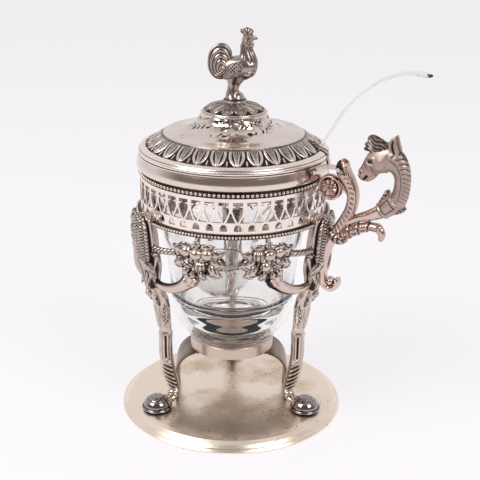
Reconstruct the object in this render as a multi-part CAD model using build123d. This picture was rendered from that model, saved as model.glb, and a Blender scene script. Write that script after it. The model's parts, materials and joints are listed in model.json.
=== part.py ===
"""Silver-plated jam pot on three ornamental legs, with a hinged lid, a glass liner and a ladle.

Millimetres, +Z up. The origin is the middle of the base at the level it rests on, and the handle lies
along +X, above leg 1. The legs stand 120 degrees apart. The lid turns on a pin along Y in the handle.
"""
from build123d import *
import os
from math import cos, degrees, floor, hypot, pi, radians, sin, sqrt

# Driving sizes of the frame
BASE_R = 45.0
BASE_TOP = 4.2
NUT_SEAT_Z = 2.3
LEG_COUNT = 3
LEG_FOOT_R = 34.3
LEG_SHAFT_R = 30.0
LEG_NECK_R = 35.0
CURL_OUT = 3.4
CLUSTER_STEP = 40.0
PIN_STEP = 7.0
FIT_PLAY = 0.02

# Driving sizes of the cradle that carries the glass
CRADLE_RING_R = 16.8
CRADLE_RING_Z = 25.6
CRADLE_RING_HIGH = 4.9
CRADLE_SPAN_R = 22.9
CRADLE_DEEP = 8.0
CRADLE_THICK = 1.3
CRADLE_TURN = 30.0

# Driving sizes of the pierced gallery
GALLERY_R = 36.2
GALLERY_WALL = 0.8
GALLERY_REPEATS = 44
GALLERY_Z = 85.2
GALLERY_HIGH = 13.4
UPPER_BEAD = 1.65
UPPER_RING_HIGH = 2.2
LOWER_BEAD = 1.25
LOWER_RING_HIGH = 1.6
LOWER_RING_OUT = 1.75
UPPER_RING_OUT = 0.6
SOLDER_ROOM = 0.12

# Driving sizes of the lid
LID_GAP = 0.3
LID_RIM_R = 36.3
LID_COLLAR_HIGH = 5.9
LID_COLLAR_BULGE = 1.1
LID_PLATE_R = 27.1
LID_PLATE_RISE = 6.9
LID_NECK_R = 12.7
LID_NECK_RISE = 8.4
LID_WALL = 0.8
PETAL_COUNT = 12
ROSETTE_RISE = 3.4
FINIAL_HIGH = 28.2
STUD_R = 1.5
NUT_ACROSS = 5.0
NUT_THICK = 1.8
WASHER_R = 4.5
WASHER_THICK = 0.6

# Driving sizes of the hinge and the handle
HINGE_X = 45.3
HINGE_Z = 106.6
PIN_R = 0.8
PIN_PLAY = 0.05
KNUCKLE_R = 1.6
KNUCKLE_WIDE = 2.2
FORK_PLAY = 0.15
FORK_WIDE = 5.6
FORK_REACH = 5.2
HANDLE_WIDE = 4.2
CURL_START = 190.0
CURL_STEP = 25.0

# Driving sizes of the glass liner
LINER_FOOT_R = 15.8
LINER_SIDE_R = 24.7
LINER_RIM_R = 34.8
LINER_RIM_Z = 99.8
LINER_WALL = 2.0
LINER_RIM_WALL = 1.5
LINER_FLOOR_Z = 40.6

# Driving sizes of the ladle
LADLE_X = -7.85
LADLE_Y = 4.13
LADLE_Z = 56.6
LADLE_BOWL_R = 13.0
LADLE_BOWL_RISE = 2.8
LADLE_WALL = 1.1
LADLE_LEAN = 0.747
LADLE_TURN = 6.9
LADLE_THICK = 1.4
LADLE_STEM_WIDE = 2.6
LADLE_END_WIDE = 6.6
SLOT_WIDE = 5.6
SLOT_Y = 9.7
SLOT_INNER_X = 27.8

SIDES = 8
FLAT_ENOUGH = 1e-6

# Levels that follow from the driving sizes
LOWER_RING_Z = GALLERY_Z - LOWER_RING_HIGH
UPPER_RING_Z = GALLERY_Z + GALLERY_HIGH
LID_Z = UPPER_RING_Z + UPPER_RING_HIGH + LID_GAP
LEAF_Z = LID_Z + LID_COLLAR_HIGH
PLATE_Z = LEAF_Z + LID_PLATE_RISE
NECK_Z = PLATE_Z + LID_NECK_RISE
CLUSTER_Z = LOWER_RING_Z - 7.8
HORN_Z = LOWER_RING_Z - 23.2


def ring_solid(outline):
    """Solid turned about the pot's axis from a closed outline of (radius, height) points."""
    face = Face(Wire.make_polygon([(r, 0, z) for r, z in outline], close=True))
    return Solid.revolve(face, 360, Axis.Z)


def sheet_outline(outer, wall, level_start=False, level_end=False):
    """Closed outline of sheet metal of one wall thickness behind an open outer line of (radius, height).

    The line runs up and inwards, so the wall lies on its left. A level end is cut horizontally.
    """
    inner = []
    last = len(outer) - 1
    for i, (r, z) in enumerate(outer):
        normals = []
        for a, b in ((i - 1, i), (i, i + 1)):
            if a >= 0 and b <= last:
                run, rise = outer[b][0] - outer[a][0], outer[b][1] - outer[a][1]
                length = hypot(run, rise)
                normals.append((-rise / length, run / length))
        if (i == 0 and level_start) or (i == last and level_end):
            inner.append((r - wall, z))
            continue
        n0, n1 = normals[0], normals[-1]
        share = 1 + n0[0] * n1[0] + n0[1] * n1[1]
        shifted = r + wall * (n0[0] + n1[0]) / share
        inner.append((0.0 if r == 0 else shifted, z + wall * (n0[1] + n1[1]) / share))
    return outer + inner[::-1]


def unit(v):
    """Vector of length one along v."""
    return v / v.length


def faceted(rings):
    """Solid with flat facets between successive rings of corners; a ring at each end closes it.

    A facet between two rings is one quadrilateral where its corners lie in a plane, and else two triangles.
    """
    faces = [Face(Wire.make_polygon(rings[0], close=True)), Face(Wire.make_polygon(rings[-1], close=True))]
    for lower, upper in zip(rings, rings[1:]):
        for k in range(len(lower)):
            following = (k + 1) % len(lower)
            a, b, c, d = lower[k], lower[following], upper[following], upper[k]
            lean = abs((b - a).cross(d - a).dot(c - a)) / (b - a).cross(d - a).length
            corners = [[a, b, c, d]] if lean < FLAT_ENOUGH else [[a, b, c], [a, c, d]]
            faces += [Face(Wire.make_polygon(loop, close=True)) for loop in corners]
    return Solid(Shell(faces))


def lofted(stations, side, sides=SIDES, turn=0.5):
    """Cast form lofted straight through polygon sections along a line of stations.

    A station is (point, half thickness, half width). The width lies along side(point), squared to the line.
    """
    points = [Vector(*s[0]) for s in stations]
    rings = []
    for i, (_, thick, wide) in enumerate(stations):
        along = unit(points[min(i + 1, len(points) - 1)] - points[max(i - 1, 0)])
        across = side(points[i])
        across = unit(across - along * across.dot(along))
        normal = across.cross(along)
        corners = []
        for k in range(sides):
            angle = 2 * pi * (k + turn) / sides
            corners.append(points[i] + normal * (thick * cos(angle)) + across * (wide * sin(angle)))
        rings.append(corners)
    return faceted(rings)


def in_plane(stations, turn=0.5, sides=SIDES):
    """Cast form whose centreline lies in the handle's plane: stations are (x, z, thick, wide)."""
    return lofted([((x, 0, z), t, w) for x, z, t, w in stations], lambda p: Vector(0, 1, 0), sides, turn)


def plate_from(outline, thick):
    """Flat plate, thick along Y and centred on the handle's plane, from a closed (x, z) outline."""
    face = Face(Wire.make_polygon([(x, -thick / 2, z) for x, z in outline], close=True))
    return Solid.extrude(face, Vector(0, thick, 0))


def ball(centre, across, high, sides=SIDES):
    """Faceted round fruit, across wide and high tall, standing on its stalk axis."""
    r, h = across / 2, high / 2
    x, y, z = centre
    rings = []
    for level, share in ((-0.92, 0.38), (-0.45, 0.9), (0.0, 1.0), (0.45, 0.9), (0.92, 0.38)):
        corners = []
        for k in range(sides):
            angle = 2 * pi * k / sides
            corners.append(Vector(x + r * share * cos(angle), y + r * share * sin(angle), z + h * level))
        rings.append(corners)
    return faceted(rings)


def joined(*shapes):
    """One solid from overlapping shapes."""
    whole = shapes[0]
    for shape in shapes[1:]:
        whole = whole.fuse(shape)
    return largest(whole)


def largest(shape):
    """The biggest solid of a shape, so that a cut leaves no splinters."""
    return max(shape.solids(), key=lambda s: s.volume)


def seated(shape, *carriers):
    """The shape cut back to the faces of the pieces that carry it."""
    return largest(shape.cut(*carriers))


def turned_by(shape, angle):
    """Copy of a shape turned about the pot's axis."""
    return shape.rotate(Axis.Z, angle)


def on_drum(radius, azimuth, z):
    """Point on a drum about the pot's axis."""
    return (radius * cos(radians(azimuth)), radius * sin(radians(azimuth)), z)


def outward(point):
    """Direction away from the pot's axis."""
    return Vector(point.X, point.Y, 0)


def base_top_z(r):
    """Height of the base plate's upper face at a radius, on its slightly crowned middle."""
    return BASE_TOP + 0.5 * (1 - r / (BASE_R - 4.5))


def base_plate():
    """Turned disc with a moulded rim and a slightly crowned middle, flat underneath, drilled for the legs."""
    outer = [
        (BASE_R, 0.0), (BASE_R, 0.6), (BASE_R - 0.7, 1.4), (BASE_R - 1.2, 1.5), (BASE_R - 2.2, 2.6),
        (BASE_R - 3.6, BASE_TOP - 0.5), (BASE_R - 5.4, BASE_TOP - 0.1),
        (BASE_R - 8.0, base_top_z(BASE_R - 8.0)), (0.0, base_top_z(0)),
    ]
    plate = ring_solid(outer + [(0.0, 0.0)])
    holes = []
    for angle in leg_angles():
        holes.append(turned_by(cylinder((LEG_FOOT_R, 0, -1), STUD_R, 2 * BASE_TOP), angle))
        holes.append(turned_by(cylinder((LEG_FOOT_R, 0, -1), NUT_ACROSS, 1 + NUT_SEAT_Z), angle))
    return largest(plate.cut(*holes))


def cylinder(foot, r, high, along=(0, 0, 1)):
    """Round bar of radius r from its foot centre."""
    return Solid.make_cylinder(r, high, Plane(origin=foot, z_dir=along))


def leg_angles():
    """Azimuths of the legs; leg 1 is under the handle."""
    return [360.0 / LEG_COUNT * k for k in range(LEG_COUNT)]


def nut(across, thick, bore, z):
    """Hexagon nut with its underside at z, on the pot's axis."""
    corners = [(across / sqrt(3) * cos(pi / 3 * k), across / sqrt(3) * sin(pi / 3 * k), z) for k in range(6)]
    body = Solid.extrude(Face(Wire.make_polygon(corners, close=True)), Vector(0, 0, thick))
    return body.cut(cylinder((0, 0, z - 1), bore, thick + 2))


def leg():
    """Cast leg at azimuth 0: scroll foot with its stud, ridged shin, knee, acanthus, neck and palmette."""
    foot_z = base_top_z(LEG_FOOT_R)
    bun = ball((LEG_FOOT_R, 0, foot_z + 0.4), 12.2, 9.4, 12)
    below = Solid.make_box(40, 40, 20, Plane(origin=(LEG_FOOT_R - 20, -20, foot_z - 20)))
    bun = largest(bun.cut(below))
    stud = cylinder((LEG_FOOT_R, 0, 0.3), STUD_R - FIT_PLAY, foot_z)
    scroll = in_plane([
        (LEG_FOOT_R - 3.0, foot_z + 2.6, 1.9, 3.4), (LEG_FOOT_R - 6.2, foot_z + 2.6, 1.9, 3.0),
        (LEG_SHAFT_R - 3.7, foot_z + 4.6, 1.9, 2.6), (LEG_SHAFT_R - 3.6, 11.5, 2.1, 2.3),
    ])
    shin = in_plane([
        (LEG_SHAFT_R - 3.9, 10.0, 2.0, 2.2), (LEG_SHAFT_R - 2.9, 14.0, 2.5, 2.5),
        (LEG_SHAFT_R - 1.4, 19.0, 2.9, 2.8),
        (LEG_SHAFT_R - 0.3, 24.5, 2.8, 2.8), (LEG_SHAFT_R, 29.0, 2.6, 2.6), (LEG_SHAFT_R, 34.5, 2.5, 2.5),
        (LEG_SHAFT_R + 0.1, 36.4, 2.9, 2.9), (LEG_SHAFT_R + 0.2, 38.2, 2.5, 2.5),
        (LEG_SHAFT_R + 0.9, 42.5, 2.8, 2.7), (LEG_SHAFT_R + 1.4, 47.0, 3.0, 3.0),
        (LEG_SHAFT_R + 2.2, 51.5, 3.4, 3.9), (LEG_NECK_R - 1.2, 55.0, 2.7, 3.2), (LEG_NECK_R, 58.0, 2.7, 2.7),
    ])
    palmette = in_plane([
        (LEG_NECK_R, 57.2, 2.7, 2.6), (LEG_NECK_R + 0.5, 61.0, 3.2, 3.2), (LEG_NECK_R + 0.8, 66.0, 4.1, 4.2),
        (LEG_NECK_R + 1.9, 71.0, 4.5, 4.9), (LEG_NECK_R + 2.5, 77.0, 4.6, 5.3),
        (LEG_NECK_R + 3.2, LOWER_RING_Z + 1.0, 4.2, 5.3), (LEG_NECK_R + 4.0, LOWER_RING_Z + 3.4, 2.6, 4.4),
    ])
    curl = in_plane([
        (LEG_SHAFT_R + 1.2, 43.5, 0.8, 0.8), (LEG_SHAFT_R + 1.6, 46.0, 1.3, 1.3),
        (LEG_SHAFT_R + 2.0, 49.5, 1.0, 1.0),
    ])
    curls = [curl.translate(Vector(0, side * CURL_OUT, 0)) for side in (-1, 1)]
    return joined(shin, scroll, bun, stud, palmette, *curls)


def cradle_strap():
    """Bent strap, shaped like an arch, that carries the glass clear of the base."""
    top = CRADLE_RING_Z
    corner = 10.5
    steps = 6
    outer = [(CRADLE_SPAN_R, base_top_z(CRADLE_SPAN_R))]
    inner = [(CRADLE_SPAN_R - CRADLE_THICK, base_top_z(CRADLE_SPAN_R))]
    for k in range(steps + 1):
        angle = pi / 2 * k / steps
        centre = (CRADLE_SPAN_R - corner, top - corner)
        outer.append((centre[0] + corner * cos(angle), centre[1] + corner * sin(angle)))
        tight = corner - CRADLE_THICK
        inner.append((centre[0] + tight * cos(angle), centre[1] + tight * sin(angle)))
    right = outer + [(-r, z) for r, z in outer[::-1]]
    left = [(-r, z) for r, z in inner] + inner[::-1]
    return turned_by(plate_from(right + left, CRADLE_DEEP), CRADLE_TURN)


def cradle_ring():
    """Collar on the strap that holds the foot of the glass."""
    wall = CRADLE_RING_R - LINER_FOOT_R - 0.2
    bottom, top = CRADLE_RING_Z, CRADLE_RING_Z + CRADLE_RING_HIGH
    return ring_solid([
        (CRADLE_RING_R - wall, bottom), (CRADLE_RING_R, bottom), (CRADLE_RING_R, top - 0.7),
        (CRADLE_RING_R + 0.35, top - 0.35), (CRADLE_RING_R, top), (CRADLE_RING_R - wall, top),
    ])


def panel_tool(outline, azimuth):
    """Cutter for one hole of the gallery: an outline of (across, height) pushed outwards at an azimuth."""
    inner = GALLERY_R - 4 * GALLERY_WALL
    face = Face(Wire.make_polygon([(inner, y, GALLERY_Z + z) for y, z in outline], close=True))
    return turned_by(Solid.extrude(face, Vector(6 * GALLERY_WALL, 0, 0)), azimuth)


def mirrored(half):
    """Closed outline from its right half, whose first and last points lie on the middle line."""
    return half + [(-y, z) for y, z in half[-2:0:-1]]


def gallery_ring():
    """Pierced band: under each bar an urn-shaped opening, with arrow heads and arched windows below."""
    pitch = 360.0 / GALLERY_REPEATS
    high, wide = GALLERY_HIGH, 2 * pi * GALLERY_R / GALLERY_REPEATS
    corner_r = GALLERY_R / cos(pi / GALLERY_REPEATS)
    rings = []
    for r in (corner_r, corner_r - GALLERY_WALL):
        corners = [on_drum(r, pitch * (k + 0.5), GALLERY_Z) for k in range(GALLERY_REPEATS)]
        rings.append(Solid.extrude(Face(Wire.make_polygon(corners, close=True)), Vector(0, 0, high)))
    urn = mirrored([
        (0, 0.9 * high), (0.31 * wide, 0.9 * high), (0.31 * wide, 0.8 * high), (0.13 * wide, 0.78 * high),
        (0.33 * wide, 0.71 * high), (0.33 * wide, 0.6 * high), (0.2 * wide, 0.46 * high), (0, 0.35 * high),
    ])
    arrow = mirrored([
        (0, 0.52 * high), (0.07 * wide, 0.42 * high), (0.2 * wide, 0.32 * high), (0, 0.32 * high),
    ])
    window = mirrored([
        (0, 0.27 * high), (0.15 * wide, 0.25 * high), (0.27 * wide, 0.17 * high), (0.27 * wide, 0.09 * high),
        (0, 0.09 * high),
    ])
    tools = []
    for k in range(GALLERY_REPEATS):
        tools += [panel_tool(urn, pitch * k), panel_tool(window, pitch * k)]
        tools.append(panel_tool(arrow, pitch * (k + 0.5)))
    return largest(rings[0].cut(rings[1], *tools))


def bead_ring(inner_r, outer_r, z, high, bead):
    """Beaded wire ring: its outer edge is notched between beads of one pitch."""
    count = 6 * floor(2 * pi * outer_r / bead / 6)
    corners = []
    for k in range(count):
        corners.append(on_drum(outer_r, 360.0 * k / count, z))
        corners.append(on_drum(outer_r - 0.35 * bead, 360.0 * (k + 0.5) / count, z))
    disc = Solid.extrude(Face(Wire.make_polygon(corners, close=True)), Vector(0, 0, high))
    return largest(disc.cut(cylinder((0, 0, z - 1), inner_r, high + 2)))


def lower_bead_ring():
    """Fine beaded ring under the gallery."""
    outer_r = GALLERY_R + LOWER_RING_OUT
    return bead_ring(GALLERY_R - GALLERY_WALL, outer_r, LOWER_RING_Z, LOWER_RING_HIGH, LOWER_BEAD)


def upper_bead_ring():
    """Beaded ring on the gallery's top edge, which the lid closes on."""
    outer_r = GALLERY_R + UPPER_RING_OUT
    return bead_ring(GALLERY_R - GALLERY_WALL, outer_r, UPPER_RING_Z, UPPER_RING_HIGH, UPPER_BEAD)


def horn(side):
    """Horn of plenty that sags from the neck of the leg at azimuth 0 and rises to its mouth."""
    path = [
        (0.06, 0.0, LEG_NECK_R, 1.2), (0.22, -0.1, LEG_NECK_R + 0.8, 1.4), (0.42, 0.3, LEG_NECK_R + 1.6, 1.7),
        (0.6, 1.4, LEG_NECK_R + 2.1, 2.0), (0.76, 3.6, LEG_NECK_R + 2.2, 2.4),
        (0.87, 6.6, LEG_NECK_R + 2.2, 2.8), (0.9, 7.6, LEG_NECK_R + 2.2, 3.2),
        (0.93, 8.8, LEG_NECK_R + 2.2, 3.2),
    ]
    stations = []
    for share, rise, r, thick in path:
        stations.append((on_drum(r, side * CLUSTER_STEP * share, HORN_Z + rise), thick, thick))
    return lofted(stations, outward)


def leaf(azimuth, r, z, reach, rise, side):
    """Pointed leaf that spreads sideways from a cluster, reach long and rise high at its tip."""
    turn = degrees(reach / r) * side
    stations = []
    for share, thick, wide in ((0.0, 0.7, 1.2), (0.35, 0.9, 2.6), (0.7, 0.7, 2.0), (1.0, 0.3, 0.4)):
        centre = on_drum(r + 0.8 * sin(pi * share), azimuth + turn * share, z + rise * share)
        stations.append((centre, thick, wide))
    return lofted(stations, lambda p: Vector(0, 0, 1), 6)


def fruit_cluster(side):
    """Bunch of round fruit with leaves to both sides and a stem up to the gallery."""
    azimuth, r, z = side * CLUSTER_STEP, LEG_NECK_R + 2.0, CLUSTER_Z
    step = degrees(1.0 / r) * side
    stem = lofted([
        (on_drum(r, azimuth, z + 1.0), 1.6, 2.2), (on_drum(r - 0.2, azimuth, z + 5.0), 1.2, 1.6),
        (on_drum(r - 0.4, azimuth, LOWER_RING_Z), 1.0, 2.2),
    ], outward, 6)
    fruit = [
        ball(on_drum(r + 1.2, azimuth + 0.2 * step, z + 2.0), 5.0, 4.8),
        ball(on_drum(r + 1.4, azimuth + 4.2 * step, z + 2.4), 4.6, 4.6),
        ball(on_drum(r + 1.0, azimuth - 4.0 * step, z + 2.2), 4.4, 4.4),
        ball(on_drum(r + 1.4, azimuth + 1.6 * step, z - 2.0), 4.6, 4.4),
        ball(on_drum(r + 1.0, azimuth - 2.6 * step, z - 1.8), 4.4, 4.2),
    ]
    leaves = [
        leaf(azimuth + 3.0 * step, r + 0.6, z + 0.8, 8.6, 1.6, side),
        leaf(azimuth + 3.0 * step, r + 0.6, z - 1.4, 8.4, -3.4, side),
        leaf(azimuth - 3.0 * step, r + 0.4, z + 1.6, 7.6, 2.6, -side),
        leaf(azimuth - 2.6 * step, r + 0.4, z - 1.0, 6.6, -2.6, -side),
    ]
    return joined(stem, *fruit, *leaves)


def garland(side):
    """Twisted rope that ties a cluster to the leg at azimuth 0."""
    steps = 9
    stations = []
    for k in range(steps + 1):
        share = k / steps
        turn = side * CLUSTER_STEP * (0.05 + 0.6 * share)
        centre = on_drum(LEG_NECK_R + 2.0, turn, CLUSTER_Z + 0.6 - 1.6 * (1 - share) - 0.6 * sin(pi * share))
        stations.append((centre, 0.85 + 0.15 * (k % 2), 0.85 + 0.15 * (k % 2)))
    return lofted(stations, outward, 6)


def gallery_pin(azimuth):
    """Riveted pin end that shows under the lower beaded ring."""
    foot = on_drum(GALLERY_R - 0.2, azimuth, LOWER_RING_Z - 0.9)
    return cylinder(foot, 0.9, 0.9)


def glass_liner():
    """Pressed glass bowl: stepped solid foot, rounded side, flaring plain rim."""
    foot_z = CRADLE_RING_Z
    ledge = foot_z + CRADLE_RING_HIGH + 0.3
    r, s, rim = LINER_FOOT_R, LINER_SIDE_R, LINER_RIM_R
    side = [
        (r, foot_z), (r, ledge), (r + 1.3, ledge + 0.3), (r + 1.5, foot_z + 6.7), (r + 2.6, foot_z + 7.2),
        (r + 2.9, foot_z + 8.4), (r + 5.0, foot_z + 10.0), (s - 1.4, foot_z + 14.0), (s - 0.2, foot_z + 18.0),
        (s, foot_z + 22.0), (s, foot_z + 27.0), (s + 1.2, foot_z + 36.0), (s + 2.6, foot_z + 45.0),
        (s + 4.8, foot_z + 56.0), (rim - 1.8, LINER_RIM_Z - 8.0), (rim, LINER_RIM_Z),
    ]
    wall, rim_wall = LINER_WALL, LINER_RIM_WALL
    hollow = [
        (rim - rim_wall, LINER_RIM_Z), (rim - 1.8 - rim_wall, LINER_RIM_Z - 8.0),
        (s + 4.8 - wall, foot_z + 56.0), (s + 2.6 - wall, foot_z + 45.0),
        (s + 1.2 - wall, foot_z + 36.0), (s - wall, foot_z + 27.0),
        (s - wall - 0.8, LINER_FLOOR_Z + 9.4), (s - wall - 3.2, LINER_FLOOR_Z + 6.3),
        (s - wall - 7.2, LINER_FLOOR_Z + 4.0), (s - wall - 12.0, LINER_FLOOR_Z + 2.0),
        (s - wall - 17.0, LINER_FLOOR_Z + 0.5), (0, LINER_FLOOR_Z), (0, foot_z),
    ]
    return ring_solid(side + hollow)


def handle_tail():
    """Plain lower scroll of the handle, soldered down the face of leg 1 and curled under."""
    curl_x, curl_z, curl_r = HINGE_X - 2.2, HINGE_Z - 44.6, 2.9
    half = HANDLE_WIDE / 2
    stations = [
        (HINGE_X - 1.6, HINGE_Z - 25.2, 2.3, half), (HINGE_X - 3.6, HINGE_Z - 29.6, 2.1, half),
        (HINGE_X - 5.4, HINGE_Z - 35.0, 1.9, half), (HINGE_X - 5.9, HINGE_Z - 40.0, 1.7, half),
    ]
    for k, thick in enumerate((1.4, 1.3, 1.25, 1.2, 1.2, 1.15, 1.1, 1.0, 0.9)):
        angle = radians(CURL_START + CURL_STEP * k)
        stations.append((curl_x + curl_r * cos(angle), curl_z + curl_r * sin(angle), thick, half))
    eye = cylinder((curl_x, -half, curl_z), 1.9, 2 * half, (0, 1, 0))
    return joined(in_plane(stations), eye)


def handle_arm():
    """Smooth tapering sleeve that carries the horse's neck."""
    return in_plane([
        (HINGE_X + 1.2, HINGE_Z - 21.6, 1.3, 1.5), (HINGE_X + 7.4, HINGE_Z - 17.8, 1.6, 1.8),
        (HINGE_X + 11.8, HINGE_Z - 16.0, 2.2, 2.2), (HINGE_X + 16.4, HINGE_Z - 13.6, 2.8, 2.7),
        (HINGE_X + 18.4, HINGE_Z - 11.9, 3.1, 3.0),
    ])


def handle_leaf():
    """Leaf-wrapped lower branch of the arm, ending in a spur that curls down."""
    return in_plane([
        (HINGE_X - 1.6, HINGE_Z - 26.4, 2.6, 1.9), (HINGE_X + 2.4, HINGE_Z - 24.6, 2.7, 2.2),
        (HINGE_X + 6.6, HINGE_Z - 22.5, 2.2, 2.2), (HINGE_X + 10.2, HINGE_Z - 20.8, 1.9, 2.1),
        (HINGE_X + 13.4, HINGE_Z - 20.3, 1.7, 2.0), (HINGE_X + 16.0, HINGE_Z - 20.8, 1.7, 1.9),
        (HINGE_X + 17.3, HINGE_Z - 22.6, 1.4, 1.5), (HINGE_X + 16.9, HINGE_Z - 24.9, 0.6, 0.8),
    ])


def neck_collar():
    """Calyx that joins the arm to the horse's neck, with a leaf tip to each side."""
    cup = in_plane([
        (HINGE_X + 16.6, HINGE_Z - 13.6, 3.2, 3.1), (HINGE_X + 19.2, HINGE_Z - 11.2, 3.9, 3.6),
        (HINGE_X + 21.4, HINGE_Z - 9.0, 4.0, 3.7),
    ])
    inner_tip = in_plane([
        (HINGE_X + 18.0, HINGE_Z - 10.0, 1.4, 1.7), (HINGE_X + 18.2, HINGE_Z - 7.2, 1.1, 1.4),
        (HINGE_X + 18.6, HINGE_Z - 5.2, 0.5, 0.6),
    ], sides=6)
    outer_tip = in_plane([
        (HINGE_X + 21.0, HINGE_Z - 12.2, 1.5, 1.7), (HINGE_X + 24.0, HINGE_Z - 11.8, 1.0, 1.4),
        (HINGE_X + 25.7, HINGE_Z - 11.0, 0.5, 0.6),
    ], sides=6)
    return joined(cup, inner_tip, outer_tip)


def horse_head():
    """Arched neck and head of a horse looking back at the lid, with crest and ear."""
    neck = in_plane([
        (HINGE_X + 21.2, HINGE_Z - 9.4, 2.9, 2.9), (HINGE_X + 23.4, HINGE_Z - 5.6, 3.0, 3.0),
        (HINGE_X + 24.0, HINGE_Z - 1.0, 3.2, 3.1), (HINGE_X + 23.2, HINGE_Z + 3.4, 3.7, 3.2),
        (HINGE_X + 20.6, HINGE_Z + 6.6, 4.6, 3.4), (HINGE_X + 16.6, HINGE_Z + 6.8, 5.3, 3.6),
        (HINGE_X + 13.4, HINGE_Z + 4.8, 4.3, 3.4), (HINGE_X + 11.0, HINGE_Z + 2.2, 2.9, 2.6),
        (HINGE_X + 9.0, HINGE_Z - 0.7, 2.2, 2.0), (HINGE_X + 7.9, HINGE_Z - 2.0, 1.3, 1.5),
    ])
    crest = plate_from([
        (HINGE_X + 8.6, HINGE_Z + 8.2), (HINGE_X + 9.6, HINGE_Z + 11.4), (HINGE_X + 10.0, HINGE_Z + 13.8),
        (HINGE_X + 11.6, HINGE_Z + 14.4), (HINGE_X + 15.0, HINGE_Z + 12.9), (HINGE_X + 18.2, HINGE_Z + 11.7),
        (HINGE_X + 19.6, HINGE_Z + 14.6), (HINGE_X + 21.2, HINGE_Z + 14.6), (HINGE_X + 22.4, HINGE_Z + 10.8),
        (HINGE_X + 25.4, HINGE_Z + 6.8), (HINGE_X + 20.0, HINGE_Z + 5.0), (HINGE_X + 12.0, HINGE_Z + 6.0),
    ], 2.6)
    return joined(neck, crest)


def handle_scroll():
    """Upper C scroll, forked at its top for the lid's hinge, with a leaf tip behind the fork."""
    half = FORK_WIDE / 2
    band = in_plane([
        (HINGE_X + 1.1, HINGE_Z + 3.2, 1.3, half - 0.6), (HINGE_X + 0.8, HINGE_Z + 1.6, 2.3, half),
        (HINGE_X + 1.1, HINGE_Z - 0.8, 2.6, half), (HINGE_X + 4.0, HINGE_Z - 5.2, 2.2, 2.3),
        (HINGE_X + 5.3, HINGE_Z - 9.2, 2.1, 2.1), (HINGE_X + 4.9, HINGE_Z - 13.8, 2.1, 2.1),
        (HINGE_X + 3.2, HINGE_Z - 18.0, 2.1, 2.1), (HINGE_X + 0.4, HINGE_Z - 22.4, 1.9, 2.0),
        (HINGE_X - 1.6, HINGE_Z - 25.0, 1.6, 1.9),
    ])
    gap = KNUCKLE_WIDE / 2 + FORK_PLAY
    room = KNUCKLE_R + 0.3
    slot = plate_from([
        (HINGE_X - 6, HINGE_Z - room), (HINGE_X, HINGE_Z - room),
        (HINGE_X + 0.7 * room, HINGE_Z - 0.7 * room), (HINGE_X + room, HINGE_Z),
        (HINGE_X + room, HINGE_Z + 0.6), (HINGE_X + room + 1.6, HINGE_Z + 8), (HINGE_X - 6, HINGE_Z + 8),
    ], 2 * gap)
    bore = cylinder((HINGE_X, -FORK_WIDE, HINGE_Z), PIN_R, 2 * FORK_WIDE, (0, 1, 0))
    return largest(band.cut(slot, bore))


def handle_volute():
    """Round scroll with a rosette face, between the gallery and the C scroll."""
    centre_x, centre_z, r = HINGE_X - 4.2, HINGE_Z - 7.8, 4.4
    half = HANDLE_WIDE / 2
    drum = cylinder((centre_x, -half + 0.5, centre_z), r, 2 * half - 1.0, (0, 1, 0))
    hub = cylinder((centre_x, -half, centre_z), 0.55 * r, 2 * half, (0, 1, 0))
    link = in_plane([
        (centre_x + 0.5, centre_z + 3.2, 0.9, 1.4), (centre_x + 4.0, centre_z + 2.4, 1.0, 1.4),
        (centre_x + 6.6, centre_z - 0.8, 0.9, 1.4), (centre_x + 8.0, centre_z - 3.0, 0.7, 1.3),
    ])
    return joined(drum, hub, link)


def hinge_pin():
    """Riveted cross pin of the lid."""
    return cylinder((HINGE_X, -FORK_WIDE / 2 - 0.2, HINGE_Z), PIN_R, FORK_WIDE + 0.4, (0, 1, 0))


def slot_tool():
    """Cutter for the notch that the ladle's stem stands in, open at the lid's edge."""
    foot = (SLOT_INNER_X, SLOT_Y - SLOT_WIDE / 2, LID_Z - 2)
    return Solid.make_box(30, SLOT_WIDE, 16, Plane(origin=foot))


def lid_collar():
    """Bulged band round the lid's edge."""
    r, z, high, bulge = LID_RIM_R, LID_Z, LID_COLLAR_HIGH, LID_COLLAR_BULGE
    outer = [
        (r, z), (r + 0.75 * bulge, z + 0.1 * high), (r + bulge, z + 0.28 * high),
        (r + 0.9 * bulge, z + 0.5 * high), (r + 0.55 * bulge, z + 0.76 * high), (r + 0.3, z + high),
    ]
    band = ring_solid(sheet_outline(outer, LID_WALL, level_start=True, level_end=True))
    return largest(band.cut(slot_tool()))


def lid_leaf_band():
    """Moulded ring between collar and raised plate, stamped with a border of leaves."""
    r, z = LID_RIM_R, LEAF_Z
    outer = [
        (r + 0.1, z), (r + 0.4, z + 0.6), (r, z + 1.6), (r - 1.0, z + 2.4), (r - 2.1, z + 2.8),
        (r - 3.0, z + 2.7), (r - 3.4, z + 3.0), (LID_PLATE_R + 0.4, PLATE_Z), (LID_PLATE_R - 1.6, PLATE_Z),
    ]
    ring = ring_solid(sheet_outline(outer, LID_WALL, level_start=True))
    return largest(ring.cut(slot_tool()))


def lid_dome():
    """Raised plate of the lid, drawn up to a neck under the finial."""
    r, neck, z = LID_PLATE_R, LID_NECK_R, PLATE_Z
    rise = LID_NECK_RISE
    outer = [
        (r, z), (r - 0.1, z + 0.45), (r - 0.8, z + 0.75), (r - 5.0, z + 1.3), (neck + 6.6, z + 0.24 * rise),
        (neck + 3.6, z + 0.35 * rise), (neck + 1.8, z + 0.52 * rise), (neck + 0.7, z + 0.73 * rise),
        (neck, z + rise), (STUD_R, z + rise),
    ]
    return ring_solid(sheet_outline(outer, LID_WALL, level_start=True))


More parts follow.
